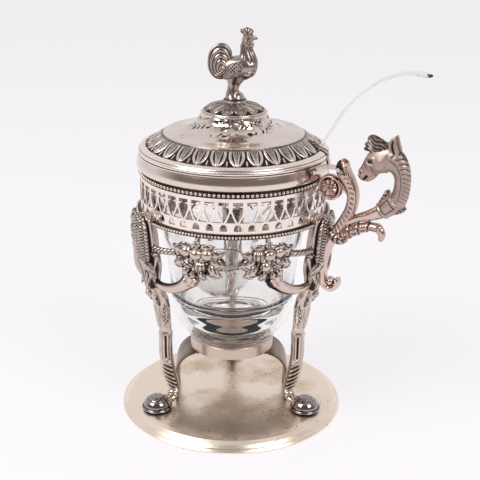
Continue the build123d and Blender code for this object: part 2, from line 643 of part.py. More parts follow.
def hinge_tab():
    """Strap from the lid's collar to the knuckle on the pin."""
    knuckle = cylinder((HINGE_X, -KNUCKLE_WIDE / 2, HINGE_Z), KNUCKLE_R, KNUCKLE_WIDE, (0, 1, 0))
    edge = LID_RIM_R - 0.6
    half, thick, low = KNUCKLE_WIDE / 2, 0.65, 1.6
    wires = []
    plan = [(edge, 3.2, -low), (edge + 2.2, 2.8, -0.7), (HINGE_X - FORK_REACH, half, 0), (HINGE_X, half, 0)]
    for x, y, rise in plan:
        low_z, high_z = HINGE_Z + rise - thick, HINGE_Z + rise + thick
        corners = [(x, -y, low_z), (x, y, low_z), (x, y, high_z), (x, -y, high_z)]
        wires.append(Wire.make_polygon(corners, close=True))
    strap = Solid.make_loft(wires, ruled=True)
    bore = cylinder((HINGE_X, -FORK_WIDE, HINGE_Z), PIN_R + PIN_PLAY, 2 * FORK_WIDE, (0, 1, 0))
    return largest(joined(knuckle, strap).cut(bore))


def rosette_plate():
    """Low cone of petals under the finial, with ridges between the petals."""
    wires = []
    for share, z in ((1.0, 0.0), (1.0, 0.7), (0.36, ROSETTE_RISE)):
        corners = []
        for k in range(2 * PETAL_COUNT):
            r = LID_NECK_R * share * (1.0 if k % 2 else 0.965)
            corners.append(on_drum(r, 180.0 * k / PETAL_COUNT, NECK_Z + z))
        wires.append(Wire.make_polygon(corners, close=True))
    cone = Solid.make_loft(wires, ruled=True)
    return largest(cone.cut(cylinder((0, 0, NECK_Z - 1), STUD_R, ROSETTE_RISE + 2)))


def rooster_finial():
    """Standing rooster on a flared foot, with the stud that holds it."""
    z = NECK_Z + ROSETTE_RISE
    h = FINIAL_HIGH
    foot = in_plane([
        (0, z, 4.6, 4.6), (0, z + 0.05 * h, 4.0, 4.0), (-0.2, z + 0.12 * h, 2.7, 2.5),
        (-0.4, z + 0.2 * h, 2.3, 2.1),
        (-0.3, z + 0.27 * h, 2.9, 2.5), (0.2, z + 0.34 * h, 4.0, 3.2),
    ])
    body = in_plane([
        (-5.2, z + 0.5 * h, 1.6, 1.2), (-3.4, z + 0.46 * h, 3.0, 2.6), (0.4, z + 0.46 * h, 4.2, 3.8),
        (4.4, z + 0.5 * h, 4.6, 3.8), (6.2, z + 0.56 * h, 3.6, 3.0), (6.0, z + 0.64 * h, 2.9, 2.5),
        (4.9, z + 0.74 * h, 2.4, 2.0), (4.7, z + 0.82 * h, 2.1, 1.8), (4.8, z + 0.9 * h, 1.6, 1.4),
    ])
    beak = in_plane([
        (5.2, z + 0.86 * h, 1.3, 1.1), (7.2, z + 0.845 * h, 0.8, 0.7), (8.5, z + 0.825 * h, 0.2, 0.2),
    ], sides=6)
    comb = plate_from([
        (2.0, z + 0.9 * h), (2.1, z + 0.95 * h), (3.4, z + 0.985 * h), (4.4, z + h), (5.8, z + 0.985 * h),
        (6.8, z + 0.95 * h), (6.4, z + 0.88 * h), (3.0, z + 0.88 * h),
    ], 1.5)
    wattle = plate_from([
        (6.0, z + 0.84 * h), (6.9, z + 0.78 * h), (6.7, z + 0.71 * h), (5.4, z + 0.74 * h),
        (5.2, z + 0.82 * h),
    ], 1.6)
    tail = in_plane([
        (-1.2, z + 0.56 * h, 2.6, 2.0), (-2.8, z + 0.68 * h, 3.2, 2.0), (-5.4, z + 0.7 * h, 3.6, 1.9),
        (-7.6, z + 0.6 * h, 3.4, 1.8), (-7.8, z + 0.46 * h, 3.0, 1.7), (-6.4, z + 0.36 * h, 2.4, 1.5),
        (-4.4, z + 0.34 * h, 1.8, 1.3),
    ])
    stud_foot = NECK_Z - LID_WALL - WASHER_THICK - NUT_THICK - 1.0
    stud = cylinder((0, 0, stud_foot), STUD_R - FIT_PLAY, z + 1.0 - stud_foot)
    return turned_by(joined(foot, body, beak, comb, wattle, tail, stud), CRADLE_TURN)


def finial_washer():
    """Washer under the lid's crown."""
    top = NECK_Z - LID_WALL
    low = top - WASHER_THICK
    return ring_solid([(STUD_R, low), (WASHER_R, low), (WASHER_R, top), (STUD_R, top)])


def finial_nut():
    """Nut that draws the finial down on the lid."""
    return nut(NUT_ACROSS, NUT_THICK, STUD_R, NECK_Z - LID_WALL - WASHER_THICK - NUT_THICK)


def ladle():
    """Ladle: deep round bowl and a flat stem that leans, bends back and curls over at its end."""
    r, wall, rise = LADLE_BOWL_R, LADLE_WALL, LADLE_BOWL_RISE
    steps = 7
    outer, inner = [], []
    for k in range(steps + 1):
        angle = pi / 2 * k / steps
        outer.append((r * sin(angle), -r * cos(angle)))
        inner.append(((r - wall) * sin(angle), -(r - wall) * cos(angle)))
    outer[0], inner[0] = (0.0, -r), (0.0, wall - r)
    bowl = ring_solid(outer + [(r, rise), (r - wall, rise)] + inner[::-1])
    path = [
        (r - 0.4, rise - 3.6, 0.8), (r - 0.3, rise, 1.0), (r + 0.3, rise + 6.0, 1.0),
        (r + 1.9, rise + 12.8, 1.0),
    ]
    path += [(LADLE_LEAN * z, z, 1.0) for z in (24.0, 37.0, 53.0)]
    path += [
        (43.9, 59.9, 1.0), (47.6, 66.1, 1.1), (50.8, 70.7, 1.2), (54.3, 74.4, 1.35), (58.7, 78.4, 1.55),
        (62.4, 81.1, 1.75), (66.9, 83.1, 2.0), (71.4, 84.3, 2.3), (76.9, 84.5, 2.53), (79.6, 84.3, 2.1),
    ]
    stations = []
    for x, z, share in path:
        wide = min(LADLE_STEM_WIDE / 2 * share, LADLE_END_WIDE / 2)
        stations.append(((x, 0, z), LADLE_THICK / 2, wide))
    stem = lofted(stations, lambda p: Vector(0, 1, 0))
    whole = joined(bowl, stem)
    return turned_by(whole, LADLE_TURN).translate(Vector(LADLE_X, LADLE_Y, LADLE_Z))


def build():
    """All sub-parts by name, each seated on what carries it."""
    parts = {}
    parts["base_plate"] = base_plate()
    parts["cradle_strap"] = seated(cradle_strap(), parts["base_plate"])
    parts["cradle_ring"] = cradle_ring()
    parts["glass_liner"] = glass_liner()
    gallery, lower, upper = gallery_ring(), lower_bead_ring(), upper_bead_ring()
    drum = cylinder((0, 0, LOWER_RING_Z), GALLERY_R + SOLDER_ROOM, LOWER_RING_HIGH + GALLERY_HIGH)
    upper_room = cylinder((0, 0, UPPER_RING_Z), GALLERY_R + UPPER_RING_OUT + FIT_PLAY, UPPER_RING_HIGH)
    tail = seated(handle_tail(), drum)
    leaf_branch = seated(handle_leaf(), tail)
    scroll = seated(handle_scroll(), tail, leaf_branch)
    arm = seated(handle_arm(), leaf_branch, scroll)
    collar = seated(neck_collar(), arm)
    head = seated(horse_head(), collar, arm)
    volute = seated(handle_volute(), drum, upper_room, scroll)

    one_leg = seated(leg(), parts["base_plate"], drum, lower)
    one_nut = nut(NUT_ACROSS, NUT_THICK, STUD_R, NUT_SEAT_Z - NUT_THICK).translate(Vector(LEG_FOOT_R, 0, 0))
    swags = {}
    for side, word in ((-1, "left"), (1, "right")):
        cornucopia = seated(horn(side), one_leg)
        fruit = seated(fruit_cluster(side), cornucopia, one_leg, lower)
        swags[word] = (cornucopia, fruit, seated(garland(side), one_leg, fruit, cornucopia))
    nuts, pins = [], []
    for k, angle in enumerate(leg_angles()):
        placed = turned_by(one_leg, angle)
        parts[f"leg_{k + 1}"] = placed if k else seated(placed, tail, leaf_branch)
        nuts.append(turned_by(one_nut, angle))
        for word, (cornucopia, fruit, rope) in swags.items():
            parts[f"horn_{k + 1}_{word}"] = turned_by(cornucopia, angle)
            parts[f"fruit_{k + 1}_{word}"] = turned_by(fruit, angle)
            parts[f"garland_{k + 1}_{word}"] = turned_by(rope, angle)
        pins += [gallery_pin(angle - CLUSTER_STEP - PIN_STEP), gallery_pin(angle + CLUSTER_STEP + PIN_STEP)]
    parts["foot_nuts"] = Compound(nuts)
    parts["gallery_pins"] = Compound(pins)
    parts["gallery_ring"] = gallery
    parts["lower_bead_ring"] = lower
    parts["upper_bead_ring"] = upper

    parts["handle_tail_scroll"] = tail
    parts["handle_leaf_branch"] = leaf_branch
    parts["handle_c_scroll"] = scroll
    parts["handle_arm"] = arm
    parts["handle_neck_collar"] = collar
    parts["horse_head"] = head
    parts["handle_volute"] = volute
    parts["hinge_pin"] = hinge_pin()

    band, edge = lid_leaf_band(), lid_collar()
    parts["lid_collar"] = edge
    parts["lid_leaf_band"] = band
    parts["lid_dome"] = seated(lid_dome(), band)
    parts["lid_hinge_tab"] = seated(hinge_tab(), edge, ring_room())
    parts["lid_rosette"] = rosette_plate()
    parts["rooster_finial"] = rooster_finial()
    parts["finial_washer"] = finial_washer()
    parts["finial_nut"] = finial_nut()
    parts["ladle"] = ladle()
    return parts


def ring_room():
    """Room inside the lid's collar, which the hinge tab does not reach into."""
    return cylinder((0, 0, LID_Z), LID_RIM_R, LID_COLLAR_HIGH)


os.makedirs("parts", exist_ok=True)
for name, shape in build().items():
    export_step(shape, f"parts/{name}.step")
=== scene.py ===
# %% [markdown]
# A silver-plated jam pot. Three cast legs stand on a round base and carry a pierced gallery. A glass liner
# hangs inside it on a small cradle, a domed lid closes it, and a glass ladle leans out through a notch.
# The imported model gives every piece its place. This script gives the pieces their cast and chased detail,
# their old plate and their glass, and lights them softly on a pale floor.

# %% Load the frame
import json

import bmesh
import bpy
import numpy as np
from mathutils import Matrix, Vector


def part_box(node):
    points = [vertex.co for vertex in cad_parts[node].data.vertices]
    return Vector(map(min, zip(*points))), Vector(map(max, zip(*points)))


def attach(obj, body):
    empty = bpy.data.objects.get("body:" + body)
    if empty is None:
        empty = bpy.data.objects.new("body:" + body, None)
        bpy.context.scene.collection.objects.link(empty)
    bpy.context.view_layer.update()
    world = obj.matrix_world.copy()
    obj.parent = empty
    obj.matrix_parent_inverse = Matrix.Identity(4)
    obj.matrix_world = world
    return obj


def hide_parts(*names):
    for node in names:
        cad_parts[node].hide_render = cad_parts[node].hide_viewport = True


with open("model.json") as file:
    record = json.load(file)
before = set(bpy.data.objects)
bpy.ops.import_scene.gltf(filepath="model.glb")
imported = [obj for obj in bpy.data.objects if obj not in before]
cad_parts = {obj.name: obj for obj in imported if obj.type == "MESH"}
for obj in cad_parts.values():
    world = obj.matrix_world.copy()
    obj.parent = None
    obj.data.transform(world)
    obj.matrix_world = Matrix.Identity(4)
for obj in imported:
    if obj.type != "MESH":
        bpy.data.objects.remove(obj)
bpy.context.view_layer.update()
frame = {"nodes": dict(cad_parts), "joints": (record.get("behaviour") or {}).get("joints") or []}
MM = 0.001

# %% [markdown]
# Everything below is drawn in millimetres and in the frame of the pot: +Z up, the handle along +X. The
# sizes that must agree with the solids are measured on the frame, so nothing here repeats them.

# %% Measure the frame
def low_high(node):
    """Lowest and highest corner of a node, in millimetres."""
    low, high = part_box(node)
    return np.array(low) / MM, np.array(high) / MM


BASE_R, _, BASE_TOP = low_high("base_plate")[1]
GALLERY_Z = low_high("gallery_ring")[0][2]
GALLERY_R, _, GALLERY_TOP = low_high("gallery_ring")[1]
LOWER_Z = low_high("lower_bead_ring")[0][2]
LOWER_R = low_high("lower_bead_ring")[1][0]
UPPER_TOP = low_high("upper_bead_ring")[1][2]
LID_Z = low_high("lid_collar")[0][2]
LEAF_Z = low_high("lid_leaf_band")[0][2]
_, BAND_R, PLATE_Z = low_high("lid_leaf_band")[1]
PLATE_R, _, NECK_Z = low_high("lid_dome")[1]
_, NECK_R, ROSETTE_TOP = low_high("lid_rosette")[1]
FINIAL_TOP = low_high("rooster_finial")[1][2]
HINGE = np.array(next(j for j in frame["joints"] if j["name"] == "lid_hinge")["pos_m"]) / MM
LEGS = 3
LEG_STEP = 360.0 / LEGS
print("base", BASE_R, "gallery", GALLERY_R, "lid from", LID_Z, "to", FINIAL_TOP)

# %% [markdown]
# A surface here is a grid of points: rows along a line, columns across or around it. One helper turns
# such grids into a mesh. Its columns close on themselves. Where a row shrinks to a point, the doubled
# vertices are merged, so that poles are closed too, and the faces are then turned outwards.

# %% Grids into meshes
MERGE_DISTANCE = 0.002
pieces = {}


def placed(name, data):
    """New object in the scene."""
    made = bpy.data.objects.new(name, data)
    bpy.context.scene.collection.objects.link(made)
    return made


def grid_faces(rows, columns, first):
    """Quads of a grid whose columns close on themselves, its points numbered row by row from first."""
    i, j = np.arange(rows - 1)[:, None] * columns, np.arange(columns)[None, :]
    beside = (j + 1) % columns
    below = i + columns
    quads = np.stack([i + j, i + beside, below + beside, below + j], axis=-1)
    return quads.reshape(-1, 4) + first


def build(name, grids, body, finish, node=None, smooth_shade=True):
    """Mesh piece from grids of points in millimetres, each a pair of points and how deep each point lies.

    Depth runs from 0 on a raised, polished place to 1 in a recess, and the finishes darken with it. The
    reliefs below may go past both ends, and the forms that call them bring it back.
    """
    points, depths, faces, first = [], [], [], 0
    for grid, depth in grids:
        rows, columns = grid.shape[:2]
        points.append(grid.reshape(-1, 3))
        depths.append(np.broadcast_to(depth, (rows, columns)).reshape(-1))
        faces.append(grid_faces(rows, columns, first))
        first += rows * columns
    mesh = bpy.data.meshes.new(name)
    mesh.from_pydata((np.concatenate(points) * MM).tolist(), [], np.concatenate(faces).tolist())
    stored = mesh.attributes.new("depth", "FLOAT", "POINT")
    stored.data.foreach_set("value", np.concatenate(depths).astype(np.float32))
    tidy = bmesh.new()
    tidy.from_mesh(mesh)
    bmesh.ops.remove_doubles(tidy, verts=tidy.verts, dist=MERGE_DISTANCE * MM)
    bmesh.ops.recalc_face_normals(tidy, faces=tidy.faces)
    tidy.to_mesh(mesh)
    tidy.free()
    mesh.polygons.foreach_set("use_smooth", np.full(len(mesh.polygons), smooth_shade))
    mesh.materials.append(finish)
    piece = placed(name, mesh)
    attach(piece, body)
    if node:
        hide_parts(*([node] if isinstance(node, str) else node))
    pieces[name] = piece
    return piece


def smooth(rows, steps=8):
    """Catmull-Rom curve through rows of numbers; a row given twice makes a corner."""
    p = np.asarray(rows, float)
    p = np.vstack([p[:1], p, p[-1:]])
    t = np.linspace(0, 1, steps, endpoint=False)[:, None]
    a, b, c, d = (p[i:len(p) - 3 + i][:, None] for i in range(4))
    square, cube = 2 * a - 5 * b + 4 * c - d, 3 * b - a - 3 * c + d
    curve = 0.5 * (2 * b + (c - a) * t + square * t**2 + cube * t**3)
    apart = np.linalg.norm(p[2:-1] - p[1:-2], axis=1) > 1e-9
    return np.vstack([curve[apart].reshape(-1, p.shape[1]), p[-1:]])


def moved(rows, *start):
    """Rows of numbers whose first columns are measured from a start."""
    table = np.array(rows, float)
    table[:, :len(start)] += start
    return table


def turned_about(grid, degrees):
    """Grid turned about the pot's axis."""
    c, s = np.cos(np.radians(degrees)), np.sin(np.radians(degrees))
    return grid @ np.array([[c, s, 0], [-s, c, 0], [0, 0, 1]])


def unit(value):
    """Value kept between 0 and 1."""
    return np.clip(value, 0, 1)


def ease(low, high, value):
    """Smooth step from 0 at low to 1 at high."""
    t = unit((value - low) / (high - low))
    return t * t * (3 - 2 * t)

# %% [markdown]
# A node tree is easier to read when each node is one short call. The first helper adds a node, sets its
# plain properties by name, and fills its sockets with a value or with another node's output. The others
# do the same for what comes back often.

# %% Short calls for shader nodes
def add(tree, kind, sockets=None, **settings):
    """Shader node with its settings, and its sockets filled by name or number."""
    made = tree.nodes.new("ShaderNode" + kind)
    for key, value in settings.items():
        setattr(made, key, value)
    for key, value in (sockets or {}).items():
        if isinstance(value, bpy.types.NodeSocket):
            tree.links.new(value, made.inputs[key])
        else:
            made.inputs[key].default_value = value
    return made


def ramp(tree, value, *stops):
    """Colour ramp over a value; stops are pairs of position and grey level or colour."""
    made = add(tree, "ValToRGB", {0: value})
    bar = made.color_ramp
    for k, (position, colour) in enumerate(stops):
        stop = bar.elements[k] if k < 2 else bar.elements.new(position)
        stop.position = position
        stop.color = (*([colour] * 3 if isinstance(colour, (int, float)) else colour), 1)
    return made.outputs["Color"]


def blend_colours(tree, share, first, second, **settings):
    """Mix of two colours by a share."""
    return add(tree, "Mix", {0: share, 6: first, 7: second}, data_type="RGBA", **settings).outputs[2]


def calc(tree, operation, *values):
    """Output of a Math node whose sockets are filled in order."""
    return add(tree, "Math", dict(enumerate(values)), operation=operation).outputs[0]


def join(tree, node, **outputs):
    """Links outputs to a node's sockets; an underscore in a socket's name stands for a space."""
    for name, output in outputs.items():
        tree.links.new(output, node.inputs[name.replace("_", " ")])


def principled(name):
    """New material, its tree and its shader."""
    material = bpy.data.materials.new(name)
    material.use_nodes = True
    return material, material.node_tree, material.node_tree.nodes["Principled BSDF"]


def object_place(tree):
    """Place on the object, in metres."""
    return add(tree, "TexCoord").outputs["Object"]


def noise(tree, scale, detail, roughness=0.5):
    """Noise over the place on the object."""
    sockets = {"Vector": object_place(tree), "Scale": scale, "Detail": detail, "Roughness": roughness}
    return add(tree, "TexNoise", sockets).outputs["Fac"]

# %% [markdown]
# Old plate is bright where hands and cloths reach it and brown where they do not. The group below works
# out that tarnish once, for every finish: clouds over the surface, small pits, and the recesses that each
# mesh stores as its depth. It puts out a colour, a roughness and a height.

# %% Tarnish as a node group
PATINA_INPUTS = {
    "Bright": (0.72, 0.68, 0.65, 1), "Dull": (0.52, 0.46, 0.42, 1), "Tarnish": (0.04, 0.03, 0.026, 1),
    "Clouds": 0.4, "Cloud size": 60.0, "Pits": 0.3, "Recess": 1.0, "Polish": 0.16, "Worn": 0.42,
}
PATINA_OUTPUTS = {"Color": "NodeSocketColor", "Roughness": "NodeSocketFloat", "Height": "NodeSocketFloat"}
FINE_SCALE = 900.0
SPOT_SCALE = 420.0
DENT_HEIGHT = 0.3


def tarnish_group():
    """Node group: colour, roughness and height of silver plate from clouds, pits and stored depth."""
    group = bpy.data.node_groups.new("Tarnished plate", "ShaderNodeTree")
    for name, value in PATINA_INPUTS.items():
        kind = "NodeSocketColor" if isinstance(value, tuple) else "NodeSocketFloat"
        group.interface.new_socket(name, in_out="INPUT", socket_type=kind).default_value = value
    for name, kind in PATINA_OUTPUTS.items():
        group.interface.new_socket(name, in_out="OUTPUT", socket_type=kind)
    given = group.nodes.new("NodeGroupInput").outputs
    out = group.nodes.new("NodeGroupOutput")
    cloud = noise(group, given["Cloud size"], 6.0, 0.62)
    fine = noise(group, FINE_SCALE, 4.0, 0.7)
    spots = add(group, "TexVoronoi", {"Vector": object_place(group), "Scale": SPOT_SCALE, "Randomness": 1.0})
    clouds = ramp(group, cloud, (0.46, 0.0), (0.66, 1.0))
    clouded = calc(group, "MULTIPLY", clouds, given["Clouds"])
    pit_shape = ramp(group, spots.outputs["Distance"], (0.1, 1.0), (0.2, 0.0))
    where = ramp(group, cloud, (0.5, 0.0), (0.58, 1.0))
    pitted = calc(group, "MULTIPLY", calc(group, "MULTIPLY", pit_shape, where), given["Pits"])
    stored = add(group, "Attribute", attribute_name="depth").outputs["Fac"]
    rough_edge = calc(group, "MULTIPLY_ADD", fine, 0.5, stored)
    recess = ramp(group, rough_edge, (0.45, 0.0), (1.05, 1.0))
    dark = calc(group, "MAXIMUM", calc(group, "MULTIPLY", recess, given["Recess"]), pitted)
    plain = blend_colours(group, clouded, given["Bright"], given["Dull"])
    colour = blend_colours(group, dark, plain, given["Tarnish"])
    worn = calc(group, "MAXIMUM", clouded, dark)
    rough = add(group, "Mix", {0: worn, 2: given["Polish"], 3: given["Worn"]}, data_type="FLOAT").outputs[0]
    height = calc(group, "SUBTRACT", calc(group, "MULTIPLY_ADD", fine, 0.35, cloud), pitted)
    join(group, out, Color=colour, Roughness=rough, Height=height)
    return group


TARNISH = tarnish_group()


def plate(name, bump, bright, dull, clouds, cloud_size, pits, polish, worn):
    """Silver plate whose colour, roughness and small dents come from the tarnish group."""
    material, tree, shader = principled(name)
    shader.inputs["Metallic"].default_value = 1.0
    patina = tree.nodes.new("ShaderNodeGroup")
    patina.node_tree = TARNISH
    values = {
        "Bright": (*bright, 1), "Dull": (*dull, 1), "Clouds": clouds, "Cloud size": cloud_size, "Pits": pits,
        "Polish": polish, "Worn": worn,
    }
    for key, value in values.items():
        patina.inputs[key].default_value = value
    made = patina.outputs
    dents = add(tree, "Bump", {"Strength": bump, "Distance": DENT_HEIGHT * MM, "Height": made["Height"]})
    join(tree, shader, Base_Color=made["Color"], Roughness=made["Roughness"], Normal=dents.outputs["Normal"])
    return material


# Each row: name, bump, bright colour, dull colour, clouds, cloud size, pits, polish, worn.
FINISHES = (
    ("cast plate", 0.2, (0.64, 0.55, 0.49), (0.46, 0.37, 0.32), 0.5, 110.0, 0.35, 0.2, 0.42),
    ("spun plate", 0.1, (0.77, 0.68, 0.61), (0.58, 0.47, 0.41), 0.45, 45.0, 0.3, 0.12, 0.33),
    ("rosy plate", 0.18, (0.62, 0.46, 0.4), (0.44, 0.32, 0.27), 0.5, 110.0, 0.25, 0.2, 0.4),
    ("horse plate", 0.12, (0.52, 0.41, 0.36), (0.34, 0.26, 0.23), 0.6, 120.0, 0.1, 0.42, 0.55),
    ("dark cast plate", 0.15, (0.43, 0.36, 0.33), (0.25, 0.2, 0.17), 0.7, 150.0, 0.2, 0.2, 0.4),
    ("dented plate", 0.25, (0.76, 0.67, 0.61), (0.57, 0.47, 0.41), 0.45, 70.0, 0.9, 0.12, 0.34),
    ("polished plate", 0.08, (0.68, 0.55, 0.49), (0.52, 0.39, 0.34), 0.35, 120.0, 0.1, 0.14, 0.32),
    ("stamped plate", 0.1, (0.91, 0.81, 0.74), (0.68, 0.58, 0.51), 0.3, 60.0, 0.25, 0.22, 0.42),
    ("browned plate", 0.12, (0.27, 0.2, 0.16), (0.16, 0.11, 0.08), 0.8, 60.0, 0.4, 0.34, 0.5),
    ("spotted plate", 0.15, (0.64, 0.51, 0.43), (0.46, 0.34, 0.23), 0.7, 50.0, 1.0, 0.28, 0.45),
    # Painted reflection: the polished foot domes are darkened to stand for the dim room that they mirror.
    ("dark reflection plate", 0.06, (0.35, 0.31, 0.31), (0.18, 0.15, 0.14), 0.5, 150.0, 0.1, 0.06, 0.16),
    ("base plate", 0.12, (0.92, 0.79, 0.67), (0.64, 0.48, 0.35), 0.4, 42.0, 0.7, 0.27, 0.42),
)
(
    CAST, SPUN, PINK, HORSE, DARK_CAST, NECK, POLISHED, STAMPED,
    BROWNED, SPOTTED, DARK_REFLECTION_PLATE, BASE,
) = (plate(*row) for row in FINISHES)
RIM_CLOUDS = 0.25


def browned_middle(material, middle_r, rim_r):
    """Makes a plate's clouds strong inside one radius and faint outside another, in millimetres."""
    tree = material.node_tree
    patina = next(node for node in tree.nodes if node.type == "GROUP")
    on_base = {0: object_place(tree), 1: (1.0, 1.0, 0.0)}
    flat = add(tree, "VectorMath", on_base, operation="MULTIPLY").outputs["Vector"]
    radius = add(tree, "VectorMath", {0: flat}, operation="LENGTH").outputs["Value"]
    limits = {"From Min": middle_r * MM, "From Max": rim_r * MM, "To Min": 1.0, "To Max": RIM_CLOUDS}
    share = add(tree, "MapRange", {"Value": radius, **limits}, interpolation_type="SMOOTHSTEP")
    join(tree, patina, Clouds=share.outputs["Result"])


browned_middle(BASE, middle_r=28.0, rim_r=40.0)
GLASS_INDEX = 1.5
FILM_SHARE = 0.94
HAZE = 0.015


def glass(name, tint):
    """Clear glass with a faint tint and fainter smears."""
    material, tree, shader = principled(name)
    shader.inputs["Transmission Weight"].default_value = 1.0
    shader.inputs["IOR"].default_value = GLASS_INDEX
    smears = noise(tree, 90.0, 3.0)
    film = ramp(tree, smears, (0.45, tint), (0.75, tuple(FILM_SHARE * c for c in tint)))
    haze = add(tree, "MapRange", {"Value": smears, "To Min": 0.0, "To Max": HAZE}).outputs["Result"]
    join(tree, shader, Base_Color=film, Roughness=haze)
    return material


LINER_GLASS = glass("liner glass", (0.965, 0.96, 0.95))
LADLE_GLASS = glass("ladle glass", (0.87, 0.88, 0.86))

# %% Give every node of the frame its finish
NODE_FINISH = {
    "base_plate": BASE, "glass_liner": LINER_GLASS, "ladle": LADLE_GLASS, "gallery_ring": STAMPED,
    "lid_collar": SPUN, "lid_dome": SPUN, "cradle_strap": BROWNED, "cradle_ring": SPOTTED,
}
for name, node in frame["nodes"].items():
    node.data.materials.clear()
    node.data.materials.append(NODE_FINISH.get(name, CAST))
print("finished nodes:", len(frame["nodes"]))

# %% [markdown]
# Most of the silver is cast: a form that follows a line and swells and thins along it, such as an arm, a
# horn or a neck. It could be carved from a subdivided cage. Here one function carries a rounded section
# along a smooth line, and a relief function raises or sinks the skin, so each casting is a short list of
# stations plus a formula for its chasing.

# %% Cast forms along a line
def limb(stations, side=(0, 1, 0), relief=None, around=40, steps=8, square=1.0):
    """Rounded section carried along a line of stations (x, y, z, half thickness, half width).

    A point is the line's point, plus thickness times the cosine of its angle along the normal, plus width
    times the sine across. Relief gives a height along that outward offset, and a depth for the tarnish.
    """
    rows = smooth(stations, steps)
    centre, thick, wide = rows[:, :3], rows[:, 3:4, None], rows[:, 4:5, None]
    along = unit_rows(np.gradient(centre, axis=0))
    across = np.broadcast_to(side(centre) if callable(side) else np.array(side, float), centre.shape)
    across = unit_rows(across - along * np.sum(across * along, axis=1, keepdims=True))
    normal = np.cross(across, along)
    angle = np.linspace(-np.pi, np.pi, around, endpoint=False)[None, :]
    c, s = (np.sign(f) * np.abs(f) ** square for f in (np.cos(angle), np.sin(angle)))
    offset = normal[:, None] * (thick * c[..., None]) + across[:, None] * (wide * s[..., None])
    skin = centre[:, None] + offset
    run = np.concatenate([[0], np.cumsum(np.linalg.norm(np.diff(centre, axis=0), axis=1))])[:, None]
    height, depth = relief(run, angle, skin) if relief else (np.zeros_like(run), 0.0)
    skin = skin + unit_rows(offset) * np.broadcast_to(height, skin.shape[:2])[..., None]
    depth = unit(np.broadcast_to(depth, skin.shape[:2]))
    ends = [np.broadcast_to(centre[k], (1, around, 3)) for k in (0, -1)]
    return np.concatenate([ends[0], skin, ends[1]]), np.concatenate([depth[:1], depth, depth[-1:]])


def unit_rows(v):
    """Vectors of length one along the last axis."""
    return v / np.maximum(np.linalg.norm(v, axis=-1, keepdims=True), 1e-9)


def upright(rows):
    """Stations of the handle's plane: (x, z, half thickness, half width) with y of 0."""
    p = np.asarray(rows, float)
    return np.insert(p, 1, 0.0, axis=1)


def outward(points):
    """Direction away from the pot's axis."""
    return unit_rows(points * [1.0, 1.0, 0.0])


def swollen(outline, focus, thick, y=0.0, relief=None, rings=28, steps=6, bend=0.0):
    """Closed flat form swollen to both sides of an outline in (x, z), like a cast tail or wing.

    A point lies a share s of the way from the focus to the outline, and its half thickness is the square
    root of one minus s squared. Relief is a function of the share, the angle and the side's points.
    """
    o = np.asarray(outline, float)
    ring = smooth(np.vstack([o[-2:], o, o[:3]]), steps)[2 * steps:-2 * steps - 1]
    turn = np.linspace(-1, 1, 2 * rings + 1)[:, None]
    share = np.sin((1 - np.abs(turn)) * np.pi / 2)
    flat = np.asarray(focus) + share[..., None] * (ring[None] - np.asarray(focus))
    angle = np.linspace(0, 2 * np.pi, len(ring), endpoint=False)[None, :]
    height, depth = relief(share, angle, flat) if relief else (0.0, 0.0)
    lift = thick * np.sqrt(unit(1 - share**2)) * np.ones(flat.shape[:2]) + height * (share < 0.999)
    across = y + np.sign(turn) * lift + bend * (flat[..., 0] - focus[0]) ** 2
    skin = np.stack([flat[..., 0], across, flat[..., 1]], axis=-1)
    return skin, unit(np.broadcast_to(depth, skin.shape[:2]))


def fruit(centre, radius, high, relief=None, rows=14, around=24, lean=(0, 0, 1)):
    """Round fruit: latitude by longitude, with a relief over both, its stalk axis along lean."""
    polar = np.linspace(0, np.pi, rows)[:, None]
    angle = np.linspace(0, 2 * np.pi, around, endpoint=False)[None, :]
    height, depth = relief(polar, angle) if relief else (0.0, 0.0)
    grow = 1 + np.broadcast_to(height, (rows, around))
    axis = unit_rows(np.array(lean, float))
    first = unit_rows(np.cross(axis, [0.3, 0.9, 0.1]))
    frame_axes = np.stack([first, np.cross(axis, first), axis])
    local = np.stack([
        radius * grow * np.sin(polar) * np.cos(angle), radius * grow * np.sin(polar) * np.sin(angle),
        high / 2 * grow * np.cos(polar) * np.ones_like(angle),
    ], axis=-1)
    return np.asarray(centre) + local @ frame_axes, unit(np.broadcast_to(depth, (rows, around)))


def beads(centres, radius):
    """Small round beads of few faces."""
    return [fruit(centre, radius, 2 * radius, rows=6, around=8) for centre in np.asarray(centres)]


def polar_point(radius, degrees, z):
    """Point on a drum about the pot's axis."""
    a = np.radians(degrees)
    x, y, height = np.broadcast_arrays(radius * np.cos(a), radius * np.sin(a), np.asarray(z, float))
    return np.stack([x, y, height], axis=-1)


def spread(grids, degrees):
    """Grids turned together about the pot's axis."""
    return [(turned_about(g, degrees), d) for g, d in grids]


def stroke(distance, half):
    """Share of a soft stroke at a distance from its middle line."""
    return np.exp(-((distance / half) ** 2))


def wave(value):
    """Rounded ridges, one per whole number: 0 in the groove and 1 on the crest."""
    return np.abs(np.sin(np.pi * value))


def between(value, low, high, soft=0.6):
    """Share of 1 between two limits, with soft ends."""
    return ease(low - soft, low + soft, value) * ease(high + soft, high - soft, value)

# %% [markdown]
# The lid is turned and stamped sheet. Its plain mouldings are one outline swept round. The border of 28
# palmettes is a relief on that same surface: each leaf is wide at the raised plate and points outwards,
# with a bright raised rim, ribs that fan out from its tip, and a dark ground between the leaves.

# %% Lid collar and leaf band
LID_SHEET = 0.8
SHEET_BACK_DEPTH = 0.35
SLOT_INNER_X = 27.8
SLOT_Y = 9.7
SLOT_WIDE = 5.6
PALMETTES = 28
LEAF_TIP_R = 33.5
LEAF_ROOT_R = PLATE_R + 0.7
PETALS = 12
AROUND = PALMETTES * 40
RIM_R = BAND_R - 0.4


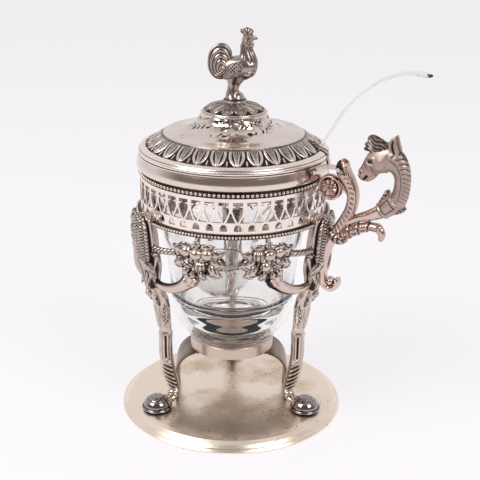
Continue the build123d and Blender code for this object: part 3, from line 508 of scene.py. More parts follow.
def notched(piece):
    """Cuts the ladle's notch out of a piece."""
    low = np.array([SLOT_INNER_X, SLOT_Y - SLOT_WIDE / 2, LID_Z - 4])
    high = np.array([SLOT_INNER_X + 20, SLOT_Y + SLOT_WIDE / 2, PLATE_Z + 4])
    corner = np.array([[i, j, k] for i in (0, 1) for j in (0, 1) for k in (0, 1)])
    quads = [(0, 1, 3, 2), (4, 6, 7, 5), (0, 4, 5, 1), (2, 3, 7, 6), (0, 2, 6, 4), (1, 5, 7, 3)]
    mesh = bpy.data.meshes.new("notch")
    mesh.from_pydata(((low + corner * (high - low)) * MM).tolist(), [], quads)
    return combined(piece, placed("cutter", mesh), "DIFFERENCE")


def opened(skin):
    """Opens the notch in a turned skin: the rows that lie in it go back to the nearest row that doesn't."""
    grid, depth = skin
    taken = (grid[..., 0] > SLOT_INNER_X) & (np.abs(grid[..., 1] - SLOT_Y) < SLOT_WIDE / 2)
    row = np.arange(len(grid))[:, None]
    after = np.minimum.accumulate(np.where(taken, len(grid), row)[::-1])[::-1]
    before = np.maximum.accumulate(np.where(taken, -1, row))
    index = np.where(taken, np.where(row < len(grid) / 2, after, before), row)
    index[-1] = index[0]
    index = np.clip(index, 0, len(grid) - 1)
    return np.take_along_axis(grid, index[..., None], axis=0), np.take_along_axis(depth, index, axis=0)


def combined(piece, other, operation, crossing=False):
    """Exact Boolean with another object, which goes; crossing allows for a skin that crosses itself."""
    step = piece.modifiers.new("cut", "BOOLEAN")
    step.operation, step.solver, step.object = operation, "EXACT", other
    step.use_self = crossing
    bpy.context.view_layer.update()
    done = piece.evaluated_get(bpy.context.evaluated_depsgraph_get())
    piece.data = bpy.data.meshes.new_from_object(done)
    piece.modifiers.clear()
    bpy.data.objects.remove(other)
    return piece


def sheet(outer, steps):
    """Closed outline of thin sheet: the smooth outer line and, behind it, the same line shifted inwards."""
    line = smooth(outer, steps)
    run = unit_rows(np.gradient(line, axis=0))
    inner = line + LID_SHEET * np.stack([-run[:, 1], run[:, 0]], axis=1)
    inner[:, 0] = np.maximum(inner[:, 0], 0)
    return line, inner[::-1]


def turned_sheet(outer, relief, level, around=AROUND, steps=8):
    """Turned sheet whose outer face takes a relief along its normal; its edges are closed.

    Level says for its first and its last edge whether the sheet is cut level there.
    """
    line, inner = sheet(outer, steps)
    if level[0]:
        inner[-1] = [line[0, 0] - LID_SHEET, line[0, 1]]
    if level[1]:
        inner[0] = [line[-1, 0] - LID_SHEET, line[-1, 1]]
    turn = round_turn(around)
    out, depths = raised(line, relief, turn)
    back = np.broadcast_to(inner[:, None], (len(inner), around, 2))
    whole = np.concatenate([out, back, out[:1]])
    depths = np.concatenate([depths, np.full((len(inner), around), SHEET_BACK_DEPTH), depths[:1]])
    return turned(whole, turn), depths


def turned_block(line, relief, around):
    """Turned solid from a closed outline, its skin raised along the outline's normal."""
    turn = round_turn(around)
    out, depths = raised(line, relief, turn)
    return turned(out, turn), depths


def round_turn(around):
    """Angles of the columns of a turned skin."""
    return np.linspace(0, 2 * np.pi, around, endpoint=False)[None, :]


def raised(line, relief, turn):
    """Outline in every column, moved along its normal by a relief, and the relief's depths."""
    run = unit_rows(np.gradient(line, axis=0))
    size = (len(line), turn.shape[1])
    height, depth = relief(line, turn) if relief else (0.0, 0.0)
    normal = np.stack([run[:, 1], -run[:, 0]], axis=1)[:, None]
    out = line[:, None] + np.broadcast_to(height, size)[..., None] * normal
    return out, unit(np.broadcast_to(depth, size))


def turned(outlines, turn):
    """Skin of outlines (radius, height), one in each column, turned about the pot's axis."""
    r, z = outlines[..., 0], outlines[..., 1]
    return np.stack([r * np.cos(turn), r * np.sin(turn), z], axis=-1)


def palmettes(line, turn):
    """Border of leaves: a doubled raised rim, five ribs that fan out from the tip, and a dark ground."""
    along = (line[:, 0:1] - LEAF_ROOT_R) / (LEAF_TIP_R - LEAF_ROOT_R)
    inside = (along > -0.02) & (along < 1.08)
    t = unit(along)
    phase = np.abs((turn * PALMETTES / (2 * np.pi)) % 1 - 0.5)
    half = 0.37 * (1 + 0.1 * np.sin(np.pi * t)) * unit(1 - t**2.2) ** 0.75 + 0.015
    rim = stroke(phase - half, 0.042) + 0.8 * stroke(phase - half + 0.085, 0.024) * (half > 0.1)
    ribs = np.maximum(stroke(phase, 0.018), stroke(phase - 0.09 * (1 - t) - 0.02, 0.018))
    ribs = np.maximum(ribs, stroke(phase - 0.19 * (1 - t) - 0.02, 0.018)) * (phase < half - 0.1)
    dart = stroke(phase - 0.5, 0.035) * between(along, 0.62, 0.98, 0.06)
    bright = unit(rim + ribs + dart)
    height = (0.34 * bright - 0.12) * ease(0.0, 0.05, along) * ease(1.02, 0.97, along)
    r, z = line[:, 0:1], line[:, 1:2]
    lines = stroke(r - 33.2, 0.2) + stroke(r - PLATE_R - 0.3, 0.25)
    steps_dark = 0.9 * stroke(z - LEAF_Z - 1.7, 0.14) + 0.9 * stroke(z - LEAF_Z - 0.1, 0.16)
    depth = unit(np.where(inside, 1 - 1.2 * bright, 0) + 0.9 * lines + steps_dark)
    return height, depth


collar_line = [
    (RIM_R, LID_Z), (RIM_R, LID_Z), (RIM_R + 0.8, LID_Z + 0.6), (RIM_R + 1.1, LID_Z + 1.7),
    (RIM_R + 1.0, LID_Z + 2.9), (RIM_R + 0.6, LID_Z + 4.4), (RIM_R + 0.3, LID_Z + 5.3),
    (RIM_R + 0.3, LEAF_Z), (RIM_R + 0.3, LEAF_Z),
]
band_line = [
    (RIM_R + 0.1, LEAF_Z), (RIM_R + 0.4, LEAF_Z + 0.5), (RIM_R + 0.3, LEAF_Z + 1.1),
    (RIM_R - 0.1, LEAF_Z + 1.6), (RIM_R - 0.1, LEAF_Z + 1.6), (RIM_R - 0.5, LEAF_Z + 2.2),
    (RIM_R - 1.6, LEAF_Z + 2.75), (RIM_R - 2.6, LEAF_Z + 2.75), (RIM_R - 3.1, LEAF_Z + 2.65),
    (RIM_R - 3.1, LEAF_Z + 2.65), (32.6, LEAF_Z + 3.2), (30.8, LEAF_Z + 4.5), (29.2, LEAF_Z + 5.7),
    (PLATE_R + 0.4, PLATE_Z - 0.05), (PLATE_R, PLATE_Z), (PLATE_R - 1.6, PLATE_Z),
]


def collar_marks(line, turn):
    """Fine dark lines at the collar's edges."""
    z = line[:, 1:2]
    return 0.0, 0.8 * stroke(z - LEAF_Z, 0.2) + 0.7 * stroke(z - LID_Z, 0.25) + 0 * turn


collar_skin = turned_sheet(collar_line, collar_marks, level=(True, True))
notched(build("lid_collar_band", [collar_skin], "lid", SPUN, "lid_collar"))
band_skin = opened(turned_sheet(band_line, palmettes, level=(True, False), steps=10))
leaf_band = build("lid_palmette_band", [band_skin], "lid", STAMPED, "lid_leaf_band")
print("lid band triangles:", 2 * len(leaf_band.data.polygons))

# %% [markdown]
# The raised plate is drawn up in the middle to a neck, and the neck is old and dented. The dents are
# real in the mesh: a sum of a few waves that differ round the neck. The rosette on it is a low cone of
# twelve flat petals with doubled outlines.

# %% Dome and rosette
dome_line = [
    (PLATE_R, PLATE_Z), (PLATE_R, PLATE_Z + 0.3), (PLATE_R - 0.4, PLATE_Z + 0.65),
    (PLATE_R - 1.4, PLATE_Z + 0.85), (PLATE_R - 5.0, PLATE_Z + 1.25), (19.6, PLATE_Z + 1.9),
    (16.6, PLATE_Z + 2.9), (14.5, PLATE_Z + 4.4), (13.4, PLATE_Z + 6.1), (12.8, PLATE_Z + 7.8),
    (12.7, NECK_Z), (12.7, NECK_Z), (6.0, NECK_Z), (1.5, NECK_Z),
]


def dents(line, turn):
    """Dents and dark mottles round the neck: waves of different counts that fade on the flat plate."""
    r, z = line[:, 0:1], line[:, 1:2]
    share = ease(21, 15, r) * ease(NECK_Z - 0.1, NECK_Z - 1.2, z)
    bumps = np.sin(5 * turn + 1.3 * z) * np.sin(8 * turn - 0.9 * z + 1) + 0.5 * np.sin(17 * turn + 2.1 * z)
    drift = 2.0 * np.sin(3 * turn + 0.8 * z) + 1.3 * np.sin(7 * turn - 1.7 * z)
    blots = np.sin(8 * turn + 1.1 * z + drift) * np.sin(11 * turn - 1.3 * z + 1.4 * drift)
    blots = blots + 0.55 * np.sin(29 * turn + 2.4 * z + 2 * drift) * np.sin(24 * turn - 2.9 * z)
    dark = ease(0.3, 0.62, blots) * share
    edge = stroke(z - PLATE_Z - 0.25, 0.2) * (r > PLATE_R - 0.8)
    return 0.13 * share * bumps - 0.05 * dark, 0.95 * dark + 0.7 * edge


dome_skin = turned_sheet(dome_line, dents, around=480, level=(True, False))
build("lid_plate", [dome_skin], "lid", NECK, "lid_dome")

PETAL_ROOT_R = 4.4
PETAL_TIP_R = NECK_R - 0.9


def petals(line, turn):
    """Flat petals with round ends: a raised double outline at the half width, dark between the petals."""
    r, z = line[:, 0:1], line[:, 1:2]
    share = unit((r - PETAL_ROOT_R) / (PETAL_TIP_R - PETAL_ROOT_R))
    phase = np.abs((turn * PETALS / (2 * np.pi)) % 1 - 0.5)
    half = 0.44 * np.sqrt(unit((1.0 - share) / 0.22))
    grow = 0.45 + 0.55 * share
    outlines = stroke(phase - half, 0.035 / grow) + 0.9 * stroke(phase - half + 0.13, 0.025 / grow)
    creases = stroke(phase - half + 0.07, 0.022 / grow) + (phase > half + 0.03)
    inner = stroke(phase - half + 0.19, 0.03 / grow)
    on = (r < NECK_R - 0.75) & (z > NECK_Z + 0.3)
    height = np.where(on, 0.3 * outlines - 0.12 * creases, 0.0)
    depth = np.where(on, unit(0.28 + creases + 0.7 * inner - 1.1 * outlines), 0.0)
    return height, depth


rosette_line = smooth([
    (1.5, NECK_Z), (NECK_R - 0.15, NECK_Z), (NECK_R - 0.15, NECK_Z), (NECK_R - 0.05, NECK_Z + 0.35),
    (NECK_R - 0.4, NECK_Z + 0.75), (NECK_R - 0.8, NECK_Z + 0.72), (NECK_R - 0.8, NECK_Z + 0.72),
    (9.6, NECK_Z + 2.0), (7.0, NECK_Z + 2.85), (4.6, ROSETTE_TOP - 0.05), (4.6, ROSETTE_TOP - 0.05),
    (1.5, ROSETTE_TOP - 0.05), (1.5, ROSETTE_TOP - 0.05), (1.5, NECK_Z),
], 10)
build("lid_rosette_petals", [turned_block(rosette_line, petals, 12 * 36)], "lid", CAST, "lid_rosette")

# %% [markdown]
# Beaded wire edges the gallery above and below. A row of small spheres is made once per ring, each with
# few faces, and a dark band behind them is what shows between the beads.

# %% Beaded rings
BEAD_SHARE = 0.47
RING_INNER_R = GALLERY_R - 0.9


def behind_beads(line, turn):
    """Dark band where the ring stands out from the gallery."""
    return 0.0, 0.9 * (line[:, 0:1] > GALLERY_R - 0.3) + 0 * turn


def bead_ring(name, node, bead, middle_r, outline, z):
    """Band with a row of beads round it: as many beads as fit, in a multiple of six."""
    count = 6 * int(2 * np.pi * middle_r / bead / 6)
    turn = np.arange(count) * 360.0 / count
    band = turned_block(smooth(outline, 1), behind_beads, 360)
    build(name, [band] + beads(polar_point(middle_r, turn, z), bead * BEAD_SHARE), "pot", CAST, node)
    print(name, count, "beads")


low, back_r = GALLERY_Z - 1.6, LOWER_R - 0.7
bead_ring("lower_beads", "lower_bead_ring", 1.25, LOWER_R - 0.62, [
    (RING_INNER_R, low), (back_r, low), (back_r, GALLERY_Z - 0.4), (GALLERY_R + 0.3, GALLERY_Z),
    (RING_INNER_R, GALLERY_Z), (RING_INNER_R, low),
], LOWER_Z + 0.72)
bead_ring("upper_beads", "upper_bead_ring", 1.65, GALLERY_R - 0.2, [
    (RING_INNER_R, GALLERY_TOP), (GALLERY_R - 0.1, GALLERY_TOP), (GALLERY_R - 0.1, UPPER_TOP),
    (RING_INNER_R, UPPER_TOP), (RING_INNER_R, GALLERY_TOP),
], (GALLERY_TOP + UPPER_TOP) / 2)

# %% [markdown]
# Under the glass a bent strap carries the small ring. One line goes up, over and down again, and a flat
# section follows it. The strap is browned, with painted shade that makes it darkest where it meets the ring
# and the base.

# %% Cradle strap
STRAP_LOW, STRAP_HIGH = (corner[2] for corner in low_high("cradle_strap"))
STRAP_R = 22.25
STRAP_BEND = 9.85
STRAP_HALF_THICK = 0.62
STRAP_HALF_DEEP = 9.0
STRAP_TURN = 30.0
bend = np.radians(np.arange(0, 91, 15.0))
bend_x, bend_z = STRAP_R - STRAP_BEND, STRAP_HIGH - STRAP_HALF_THICK - STRAP_BEND
half_arch = np.stack([bend_x + STRAP_BEND * np.cos(bend), bend_z + STRAP_BEND * np.sin(bend)], axis=1)
half_arch = np.vstack([[STRAP_R, STRAP_LOW - 0.5], [STRAP_R, (STRAP_LOW + STRAP_HIGH) / 2 - 3.0], half_arch])
arch = np.vstack([half_arch, half_arch[::-1] * [-1, 1]])
arch = np.column_stack([arch[:, 0], 0 * arch[:, 0], arch[:, 1]])
sizes = np.full((len(arch), 2), (STRAP_HALF_THICK, STRAP_HALF_DEEP))


def strap_skin(run, angle, skin):
    """Painted shade on the strap: darker towards its feet and under the ring."""
    # Painted shade: darker near the base and under the ring.
    feet = ease(STRAP_LOW + 9.0, STRAP_LOW + 1.0, skin[..., 2])
    under = ease(20.0, 15.5, np.abs(skin[..., 0]))
    return 0.0, 0.75 * feet + 0.5 * under


strap = limb(np.hstack([arch, sizes]), relief=strap_skin, around=32, steps=4, square=0.3)
build("strap_bent", spread([strap], STRAP_TURN), "pot", BROWNED, "cradle_strap")

# %% [markdown]
# The gallery is sheet pierced so far that thin bars are left. It could be cut with a mask or with holes.
# Here the bars themselves are drawn: narrow strips of the sheet's thickness that follow a line on the
# drum, for each of the 44 repeats a post, a cross tick, two legs that spread below it and a window post.

# %% Pierced gallery
REPEATS = 44
SHEET = 0.8
SHEET_OUTER_R = GALLERY_R - 0.1
HOOPS = ((0, 0.09), (0.275, 0.325), (0.9, 1))
LEG_OUT = np.array([0.04, 0.1, 0.17, 0.26, 0.36, 0.46])
LEG_UP = np.array([0.66, 0.6, 0.52, 0.44, 0.37, 0.3])


def strip(azimuths, heights, half):
    """Flat bar of the gallery's thickness along a line on the drum, half wide to each side."""
    line = polar_point(SHEET_OUTER_R - SHEET / 2, np.asarray(azimuths, float), np.asarray(heights, float))
    out = outward(line)
    wide = unit_rows(np.cross(np.gradient(line, axis=0), out)) * np.broadcast_to(half, len(line))[:, None]
    sides = np.array([1, 1, -1, -1])[:, None]
    layers = np.array([1, -1, -1, 1])[:, None] * SHEET / 2
    grid = line[:, None] + sides * wide[:, None] + layers * out[:, None]
    ends = [np.broadcast_to(line[k], (1, 4, 3)) for k in (0, -1)]
    return np.concatenate([ends[0], grid, ends[1]]), 0.0


def hoop(low, high):
    """Plain band of the gallery between two heights."""
    inner, outer = SHEET_OUTER_R - SHEET, SHEET_OUTER_R
    outline = np.array([(inner, low), (outer, low), (outer, high), (inner, high), (inner, low)])
    return turned_block(outline, None, 4 * REPEATS)


def raised_to(*shares):
    """Heights in the gallery from shares of its own height."""
    return GALLERY_Z + (GALLERY_TOP - GALLERY_Z) * np.array(shares)


pitch = 360.0 / REPEATS
lattice = [hoop(*raised_to(*shares)) for shares in HOOPS]
for k in range(REPEATS):
    at_post = pitch * (k + 0.5)
    lattice.append(strip([at_post] * 3, raised_to(0.6, 0.75, 0.91), [0.5, 0.72, 0.72]))
    tick = at_post + pitch * np.array([-0.33, 0, 0.33])
    lattice.append(strip(tick, raised_to(0.785, 0.785, 0.785), 0.27))
    lattice.append(strip([at_post] * 4, raised_to(0.05, 0.17, 0.24, 0.29), [1.2, 1.2, 1.6, 2.3]))
    for side in (-1, 1):
        lattice.append(strip(at_post + side * pitch * LEG_OUT, raised_to(*LEG_UP), 0.3))
build("gallery_lattice", lattice, "pot", STAMPED, "gallery_ring", smooth_shade=False)
print("gallery bars:", len(lattice))

# %% [markdown]
# Each leg is one casting: a domed scroll foot, a shin with chevrons under a hairpin loop, a knee with
# leaves and a head of scales and beads that tapers to a neck. It is drawn once, on the handle's side, and
# turned to its three places. The dome is a piece of its own, because its polished plate is painted nearly
# black, a painted reflection of the dim room.

# %% Legs
FOOT_R = 34.3
FOOT_TOP = BASE_TOP + 0.12
SHIN_R = 30.0
HEAD_R = 35.0
FLANK = 1.05


def spiral_foot(line, turn):
    """Spiral groove on the domed foot: one turn for each 1.5 mm of radius."""
    r, z = line[:, 0:1], line[:, 1:2]
    on = (r < 4.2) * (r > 0.4) * (z > FOOT_TOP + 1)
    groove = stroke((r / 1.5 - turn / (2 * np.pi)) % 1 - 0.5, 0.16) * on
    skirt = stroke(z - FOOT_TOP - 1.05, 0.22)
    return -0.12 * groove, 0.5 * groove + 0.8 * skirt


def shin_skin(run, angle, skin):
    """Shin: chevron ridges, then a raised hairpin loop round a dark slot on each flank, then fluting."""
    z = skin[..., 2]
    side = (np.abs(angle) - FLANK) / 0.62
    panel = between(z, 12.0, 23.8, 0.4) * ease(1.3, 1.0, np.abs(side))
    chevron = wave(z / 2.1 + 0.55 * side) ** 2.5
    loop_end = np.maximum(0, np.maximum(26.8 - z, z - 35.6)) / 2.2
    loop = np.hypot(side, loop_end)
    slot = between(z, 24.6, 37.4, 0.4) * stroke(np.maximum(loop - 0.07, 0), 0.13)
    rim = between(z, 24.0, 38.0, 0.4) * stroke(loop - 0.5, 0.2)
    flute = wave(z * 0.02 + 2.2 * side)
    fluted = between(z, 39.5, 49.0)
    height = 0.42 * panel * chevron - 0.7 * slot + 0.35 * rim + 0.3 * flute * fluted
    dark = panel * ease(0.6, 0.1, chevron) + 0.9 * fluted * ease(0.5, 0.05, flute) + slot
    return height, dark + 0.6 * stroke(loop - 0.95, 0.15) * between(z, 24, 38)


def bead_row(offset, half, z, pitch):
    """Row of beads along the leg, half wide, from the offset of a point from the row's line."""
    return np.sqrt(unit(1 - (offset / half) ** 2)) * wave(z / pitch)


def head_skin(run, angle, skin):
    """Head of the leg: scales in front, a row of beads and a dark gap on each flank, a lobe behind."""
    z = skin[..., 2]
    a = np.abs(angle)
    upper = ease(-0.9, 0.9, z - 68.8 - 3.2 * np.abs(a - 0.75))
    slant, turn = 2 * np.pi * z / 2.3, 5.0 * angle
    scales = np.abs(np.sin(slant + turn)) * np.abs(np.sin(slant - turn)) ** 0.7
    front = upper * ease(FLANK - 0.1, FLANK - 0.25, a)
    row = bead_row(a - FLANK, 0.14, z, 1.5) * upper
    second = bead_row(a - FLANK - 0.62, 0.1, z, 1.2) * upper * ease(74, 70, z)
    gap = stroke(a - FLANK - 0.33, 0.12) * ease(66, 69, z)
    lower = (1 - upper) * between(z, 57.0, 72.0)
    fold = stroke(a - FLANK - 0.12 * (z - 64), 0.2) + stroke(a - FLANK + 0.12 * (z - 64), 0.2)
    fold = unit(fold + stroke(a - 0.35, 0.25) + stroke(a - 2.2, 0.3))
    under = lower * (1 - fold)
    height = front * (0.45 * scales - 0.15) + 0.6 * row + 0.4 * second - 0.8 * gap + 0.6 * lower * fold
    beside = 0.8 * upper * stroke(a - FLANK, 0.22) * (row < 0.35)
    depth = front * ease(0.6, 0.1, scales) + gap + beside + 0.9 * under
    return height, depth


def leaf_skin(run, angle, skin):
    """Leaf: a raised midrib and slanting veins on both faces."""
    length = run[-1, 0]
    across = np.sin(angle)
    midrib = stroke(across, 0.12)
    veins = wave(4.5 * run / length + 1.1 * np.abs(across))
    return 0.16 * midrib + 0.14 * veins - 0.1, 0.9 - 0.8 * midrib - 0.75 * veins


def leaf_blade(points, half, thick, teeth, side):
    """Serrated leaf along a line: its half width is a sine arch with saw teeth, its section thin."""
    line = smooth(points, 5)
    t = np.linspace(0, 1, len(line))[:, None]
    arch = np.sin(np.pi * unit(t * 0.94 + 0.05) ** 0.75)
    saw = 1 - 0.22 * ((t * teeth) % 1)
    lobes = np.where(t > 0.94, np.clip((1 - t) / 0.06, 0.12, 1), 1.0)
    flat = np.full_like(t, thick) * unit(arch + 0.25)
    rows = np.hstack([line, flat, half * arch * saw * lobes])
    return limb(rows, side=side, relief=leaf_skin, around=20, steps=2)


def vertical(centre):
    """Upward direction for every point of a line."""
    return np.broadcast_to([0.0, 0.0, 1.0], centre.shape)


sideways, forward, raised_forward = (0.0, 1.0, 0.0), (1.0, 0.0, 0.0), (0.3, 0.0, 1.0)
foot_line = smooth(moved([
    (0.0, 5.0), (2.2, 4.8), (4.1, 3.7), (5.2, 2.2), (5.45, 1.1),
    (5.45, 1.1), (5.9, 0.8), (6.1, 0.4), (6.0, 0.0), (6.0, 0.0), (0.0, 0.0),
], 0.0, FOOT_TOP), 8)
dome, dome_depth = turned_block(foot_line[::-1], spiral_foot, 96)
foot_scroll = upright([
    (FOOT_R - 3.0, FOOT_TOP + 2.4, 1.7, 3.2), (FOOT_R - 5.6, FOOT_TOP + 2.4, 1.7, 2.6),
    (SHIN_R - 3.2, FOOT_TOP + 3.4, 1.6, 2.2), (SHIN_R - 3.8, FOOT_TOP + 5.6, 1.7, 2.0),
    (SHIN_R - 3.6, 11.6, 1.9, 2.1),
])
shin = upright(moved([
    (-3.9, 10.0, 1.7, 2.0), (-2.9, 14.0, 2.3, 2.4), (-1.4, 19.0, 2.6, 2.6), (-0.3, 24.5, 2.6, 2.7),
    (0.0, 29.0, 2.5, 2.6), (0.0, 34.5, 2.5, 2.5), (0.1, 37.0, 2.7, 2.7), (0.3, 39.0, 2.3, 2.4),
    (0.9, 42.5, 2.5, 2.6), (1.4, 47.0, 2.8, 2.9), (2.2, 51.5, 3.0, 3.4), (3.8, 55.0, 2.4, 2.9),
    (5.0, 58.0, 2.4, 2.5),
], SHIN_R))
head = upright(moved([
    (-0.2, 56.4, 2.3, 2.3), (0.5, 61.0, 2.9, 3.0), (0.8, 66.0, 3.8, 4.0), (1.9, 71.0, 4.2, 4.7),
    (2.5, 77.0, 4.3, 5.1), (3.4, 84.0, 3.9, 5.0), (4.2, 86.0, 2.9, 4.3), (4.2, 87.1, 1.2, 2.6),
], HEAD_R))


def scroll_skin(run, angle, skin):
    """Foot scroll: plain, with a dark line along its flanks."""
    return 0.0, 0.5 * stroke(np.sin(angle), 0.2) + 0 * run


leg_parts = [
    limb(foot_scroll, relief=scroll_skin),
    fruit((SHIN_R - 3.0, 0, FOOT_TOP + 4.9), 2.35, 3.4),
    limb(shin, relief=shin_skin, around=96, steps=18),
    limb(head, relief=head_skin, around=120, steps=20),
    fruit((HEAD_R + 2.1, 0, 55.3), 1.35, 2.9),
]
LEG_LEAVES = [
    (SHIN_R, 1.5, 0.8, 3, forward,
     [(0.9, 2.2, 41.5), (1.4, 3.1, 44.6), (1.6, 3.9, 47.6), (1.9, 4.4, 50.2)]),
    (HEAD_R, 1.6, 0.7, 4, raised_forward,
     [(-2.6, 1.6, 49.0), (-0.4, 2.6, 52.4), (0.8, 3.4, 54.4), (1.0, 3.7, 57.4)]),
    (HEAD_R, 1.5, 0.8, 1, forward,
     [(3.4, 2.4, 71.0), (2.6, 3.7, 67.0), (1.4, 4.0, 62.4), (1.2, 4.7, 58.8)]),
    (HEAD_R, 1.4, 0.7, 1, sideways,
     [(4.3, 0.3, 70.5), (4.2, 1.1, 66.0), (3.2, 2.0, 61.6), (3.5, 2.9, 58.4)]),
]
for y in (-1, 1):
    for start, half, thick, teeth, side, points in LEG_LEAVES:
        leg_parts.append(leaf_blade(moved(points, start) * [1, y, 1], half, thick, teeth, side))
foot_dome = [(dome + [FOOT_R, 0, 0], dome_depth)]
for k in range(LEGS):
    build(f"leg_{k + 1}_cast", spread(leg_parts, LEG_STEP * k), "pot", CAST, f"leg_{k + 1}")
    build(f"foot_{k + 1}_dome", spread(foot_dome, LEG_STEP * k), "pot", DARK_REFLECTION_PLATE)
print("leg triangles:", 2 * len(pieces["leg_1_cast"].data.polygons))

# %% [markdown]
# From each neck a horn of plenty sags to both sides and carries a bunch of fruit, which hangs on a beaded
# stem from the gallery. A twisted rope ties the bunch to the leg. Each fruit is a sphere with a formula
# of its own: a cleft, a ringed eye, ribs or a cone's scales.

# %% Kinds of fruit
def cleft(polar, angle):
    """Peach: one deep groove over the top."""
    line = stroke(np.cos(polar) * 0.55 + np.sin(polar) * np.cos(angle) * 0.8, 0.13)
    groove = line * unit(np.sin(polar) * np.sin(angle) + 0.4)
    return -0.16 * groove, groove


def eyed(polar, angle):
    """Medlar: a sunk ring round a small eye, on the side that faces outwards."""
    away = np.arccos(np.clip(np.sin(polar) * np.sin(angle), -1, 1))
    ring = stroke(away - 0.34, 0.12)
    return -0.14 * ring + 0.05 * stroke(away, 0.15), ring


def ribbed(polar, angle):
    """Melon: ribs from stalk to blossom."""
    ribs = wave(angle * 9 / (2 * np.pi))
    return 0.1 * ribs * np.sin(polar), 0.9 * (1 - ribs)


def scaled(polar, angle):
    """Cone: two sets of slanting ridges that cross."""
    ridges = wave(polar * 1.9 + angle * 3 / np.pi) * wave(polar * 1.9 - angle * 3 / np.pi)
    return 0.16 * ridges, 0.9 * ease(0.5, 0.1, ridges)

# %% Horns, fruit and garlands
CLUSTER_STEP = 40.0
SWAG_R = HEAD_R + 2.0
CLUSTER_Z = GALLERY_Z - 9.4
HORN_Z = GALLERY_Z - 24.8


def horn_skin(run, angle, skin):
    """Horn: plain and bright, with a cuff at its root, and painted shade along the side that faces up."""
    # Painted shade along one side of the horn.
    up = ease(0.25, 0.85, np.cos(angle + 0 * run))
    end = run[-1, 0]
    cuff = stroke(run - 3.2, 0.35) + stroke(run - end + 2.6, 0.3)
    flutes = wave(angle * 9 / (2 * np.pi)) * ease(end - 5.0, end - 4.0, run)
    grooves = 0.5 * (1 - flutes) * ease(end - 4.6, end - 3.8, run)
    return 0.35 * cuff + 0.25 * flutes, 0.75 * up + 0.7 * stroke(run - 3.9, 0.3) + grooves


def horn(side):
    """Horn that sags from the neck and rises to its open mouth under the fruit."""
    rows = [
        (0.04, 0.2, 0.0, 1.1), (0.22, -0.1, 0.8, 1.35), (0.42, 0.3, 1.6, 1.65), (0.6, 1.4, 2.1, 1.95),
        (0.76, 3.4, 2.2, 2.4), (0.87, 6.0, 2.2, 2.8), (0.91, 7.6, 2.2, 3.15), (0.93, 8.6, 2.2, 3.2),
    ]
    share, rise, out, thick = np.array(rows).T
    path = polar_point(HEAD_R + out, side * CLUSTER_STEP * share, HORN_Z + rise)
    return [limb(np.column_stack([path, thick, thick]), side=outward, relief=horn_skin, around=48, steps=10)]


def around_cluster(side, across, out, rise):
    """Point by a cluster: millimetres along the drum away from the leg, outwards and up."""
    step = np.degrees(across / SWAG_R) * side
    return polar_point(SWAG_R + out, side * CLUSTER_STEP + step, CLUSTER_Z + rise)


def foliage_skin(run, angle, skin):
    """Crowded small leaves: crossed waves whose low places are dark."""
    lobes = wave(run / 1.7 + 0.8 * np.sin(2 * angle)) * wave(angle * 4.5 / np.pi + run / 2.6)
    return 1.1 * lobes - 0.2, 0.5 + 0.6 * ease(0.75, 0.2, lobes)


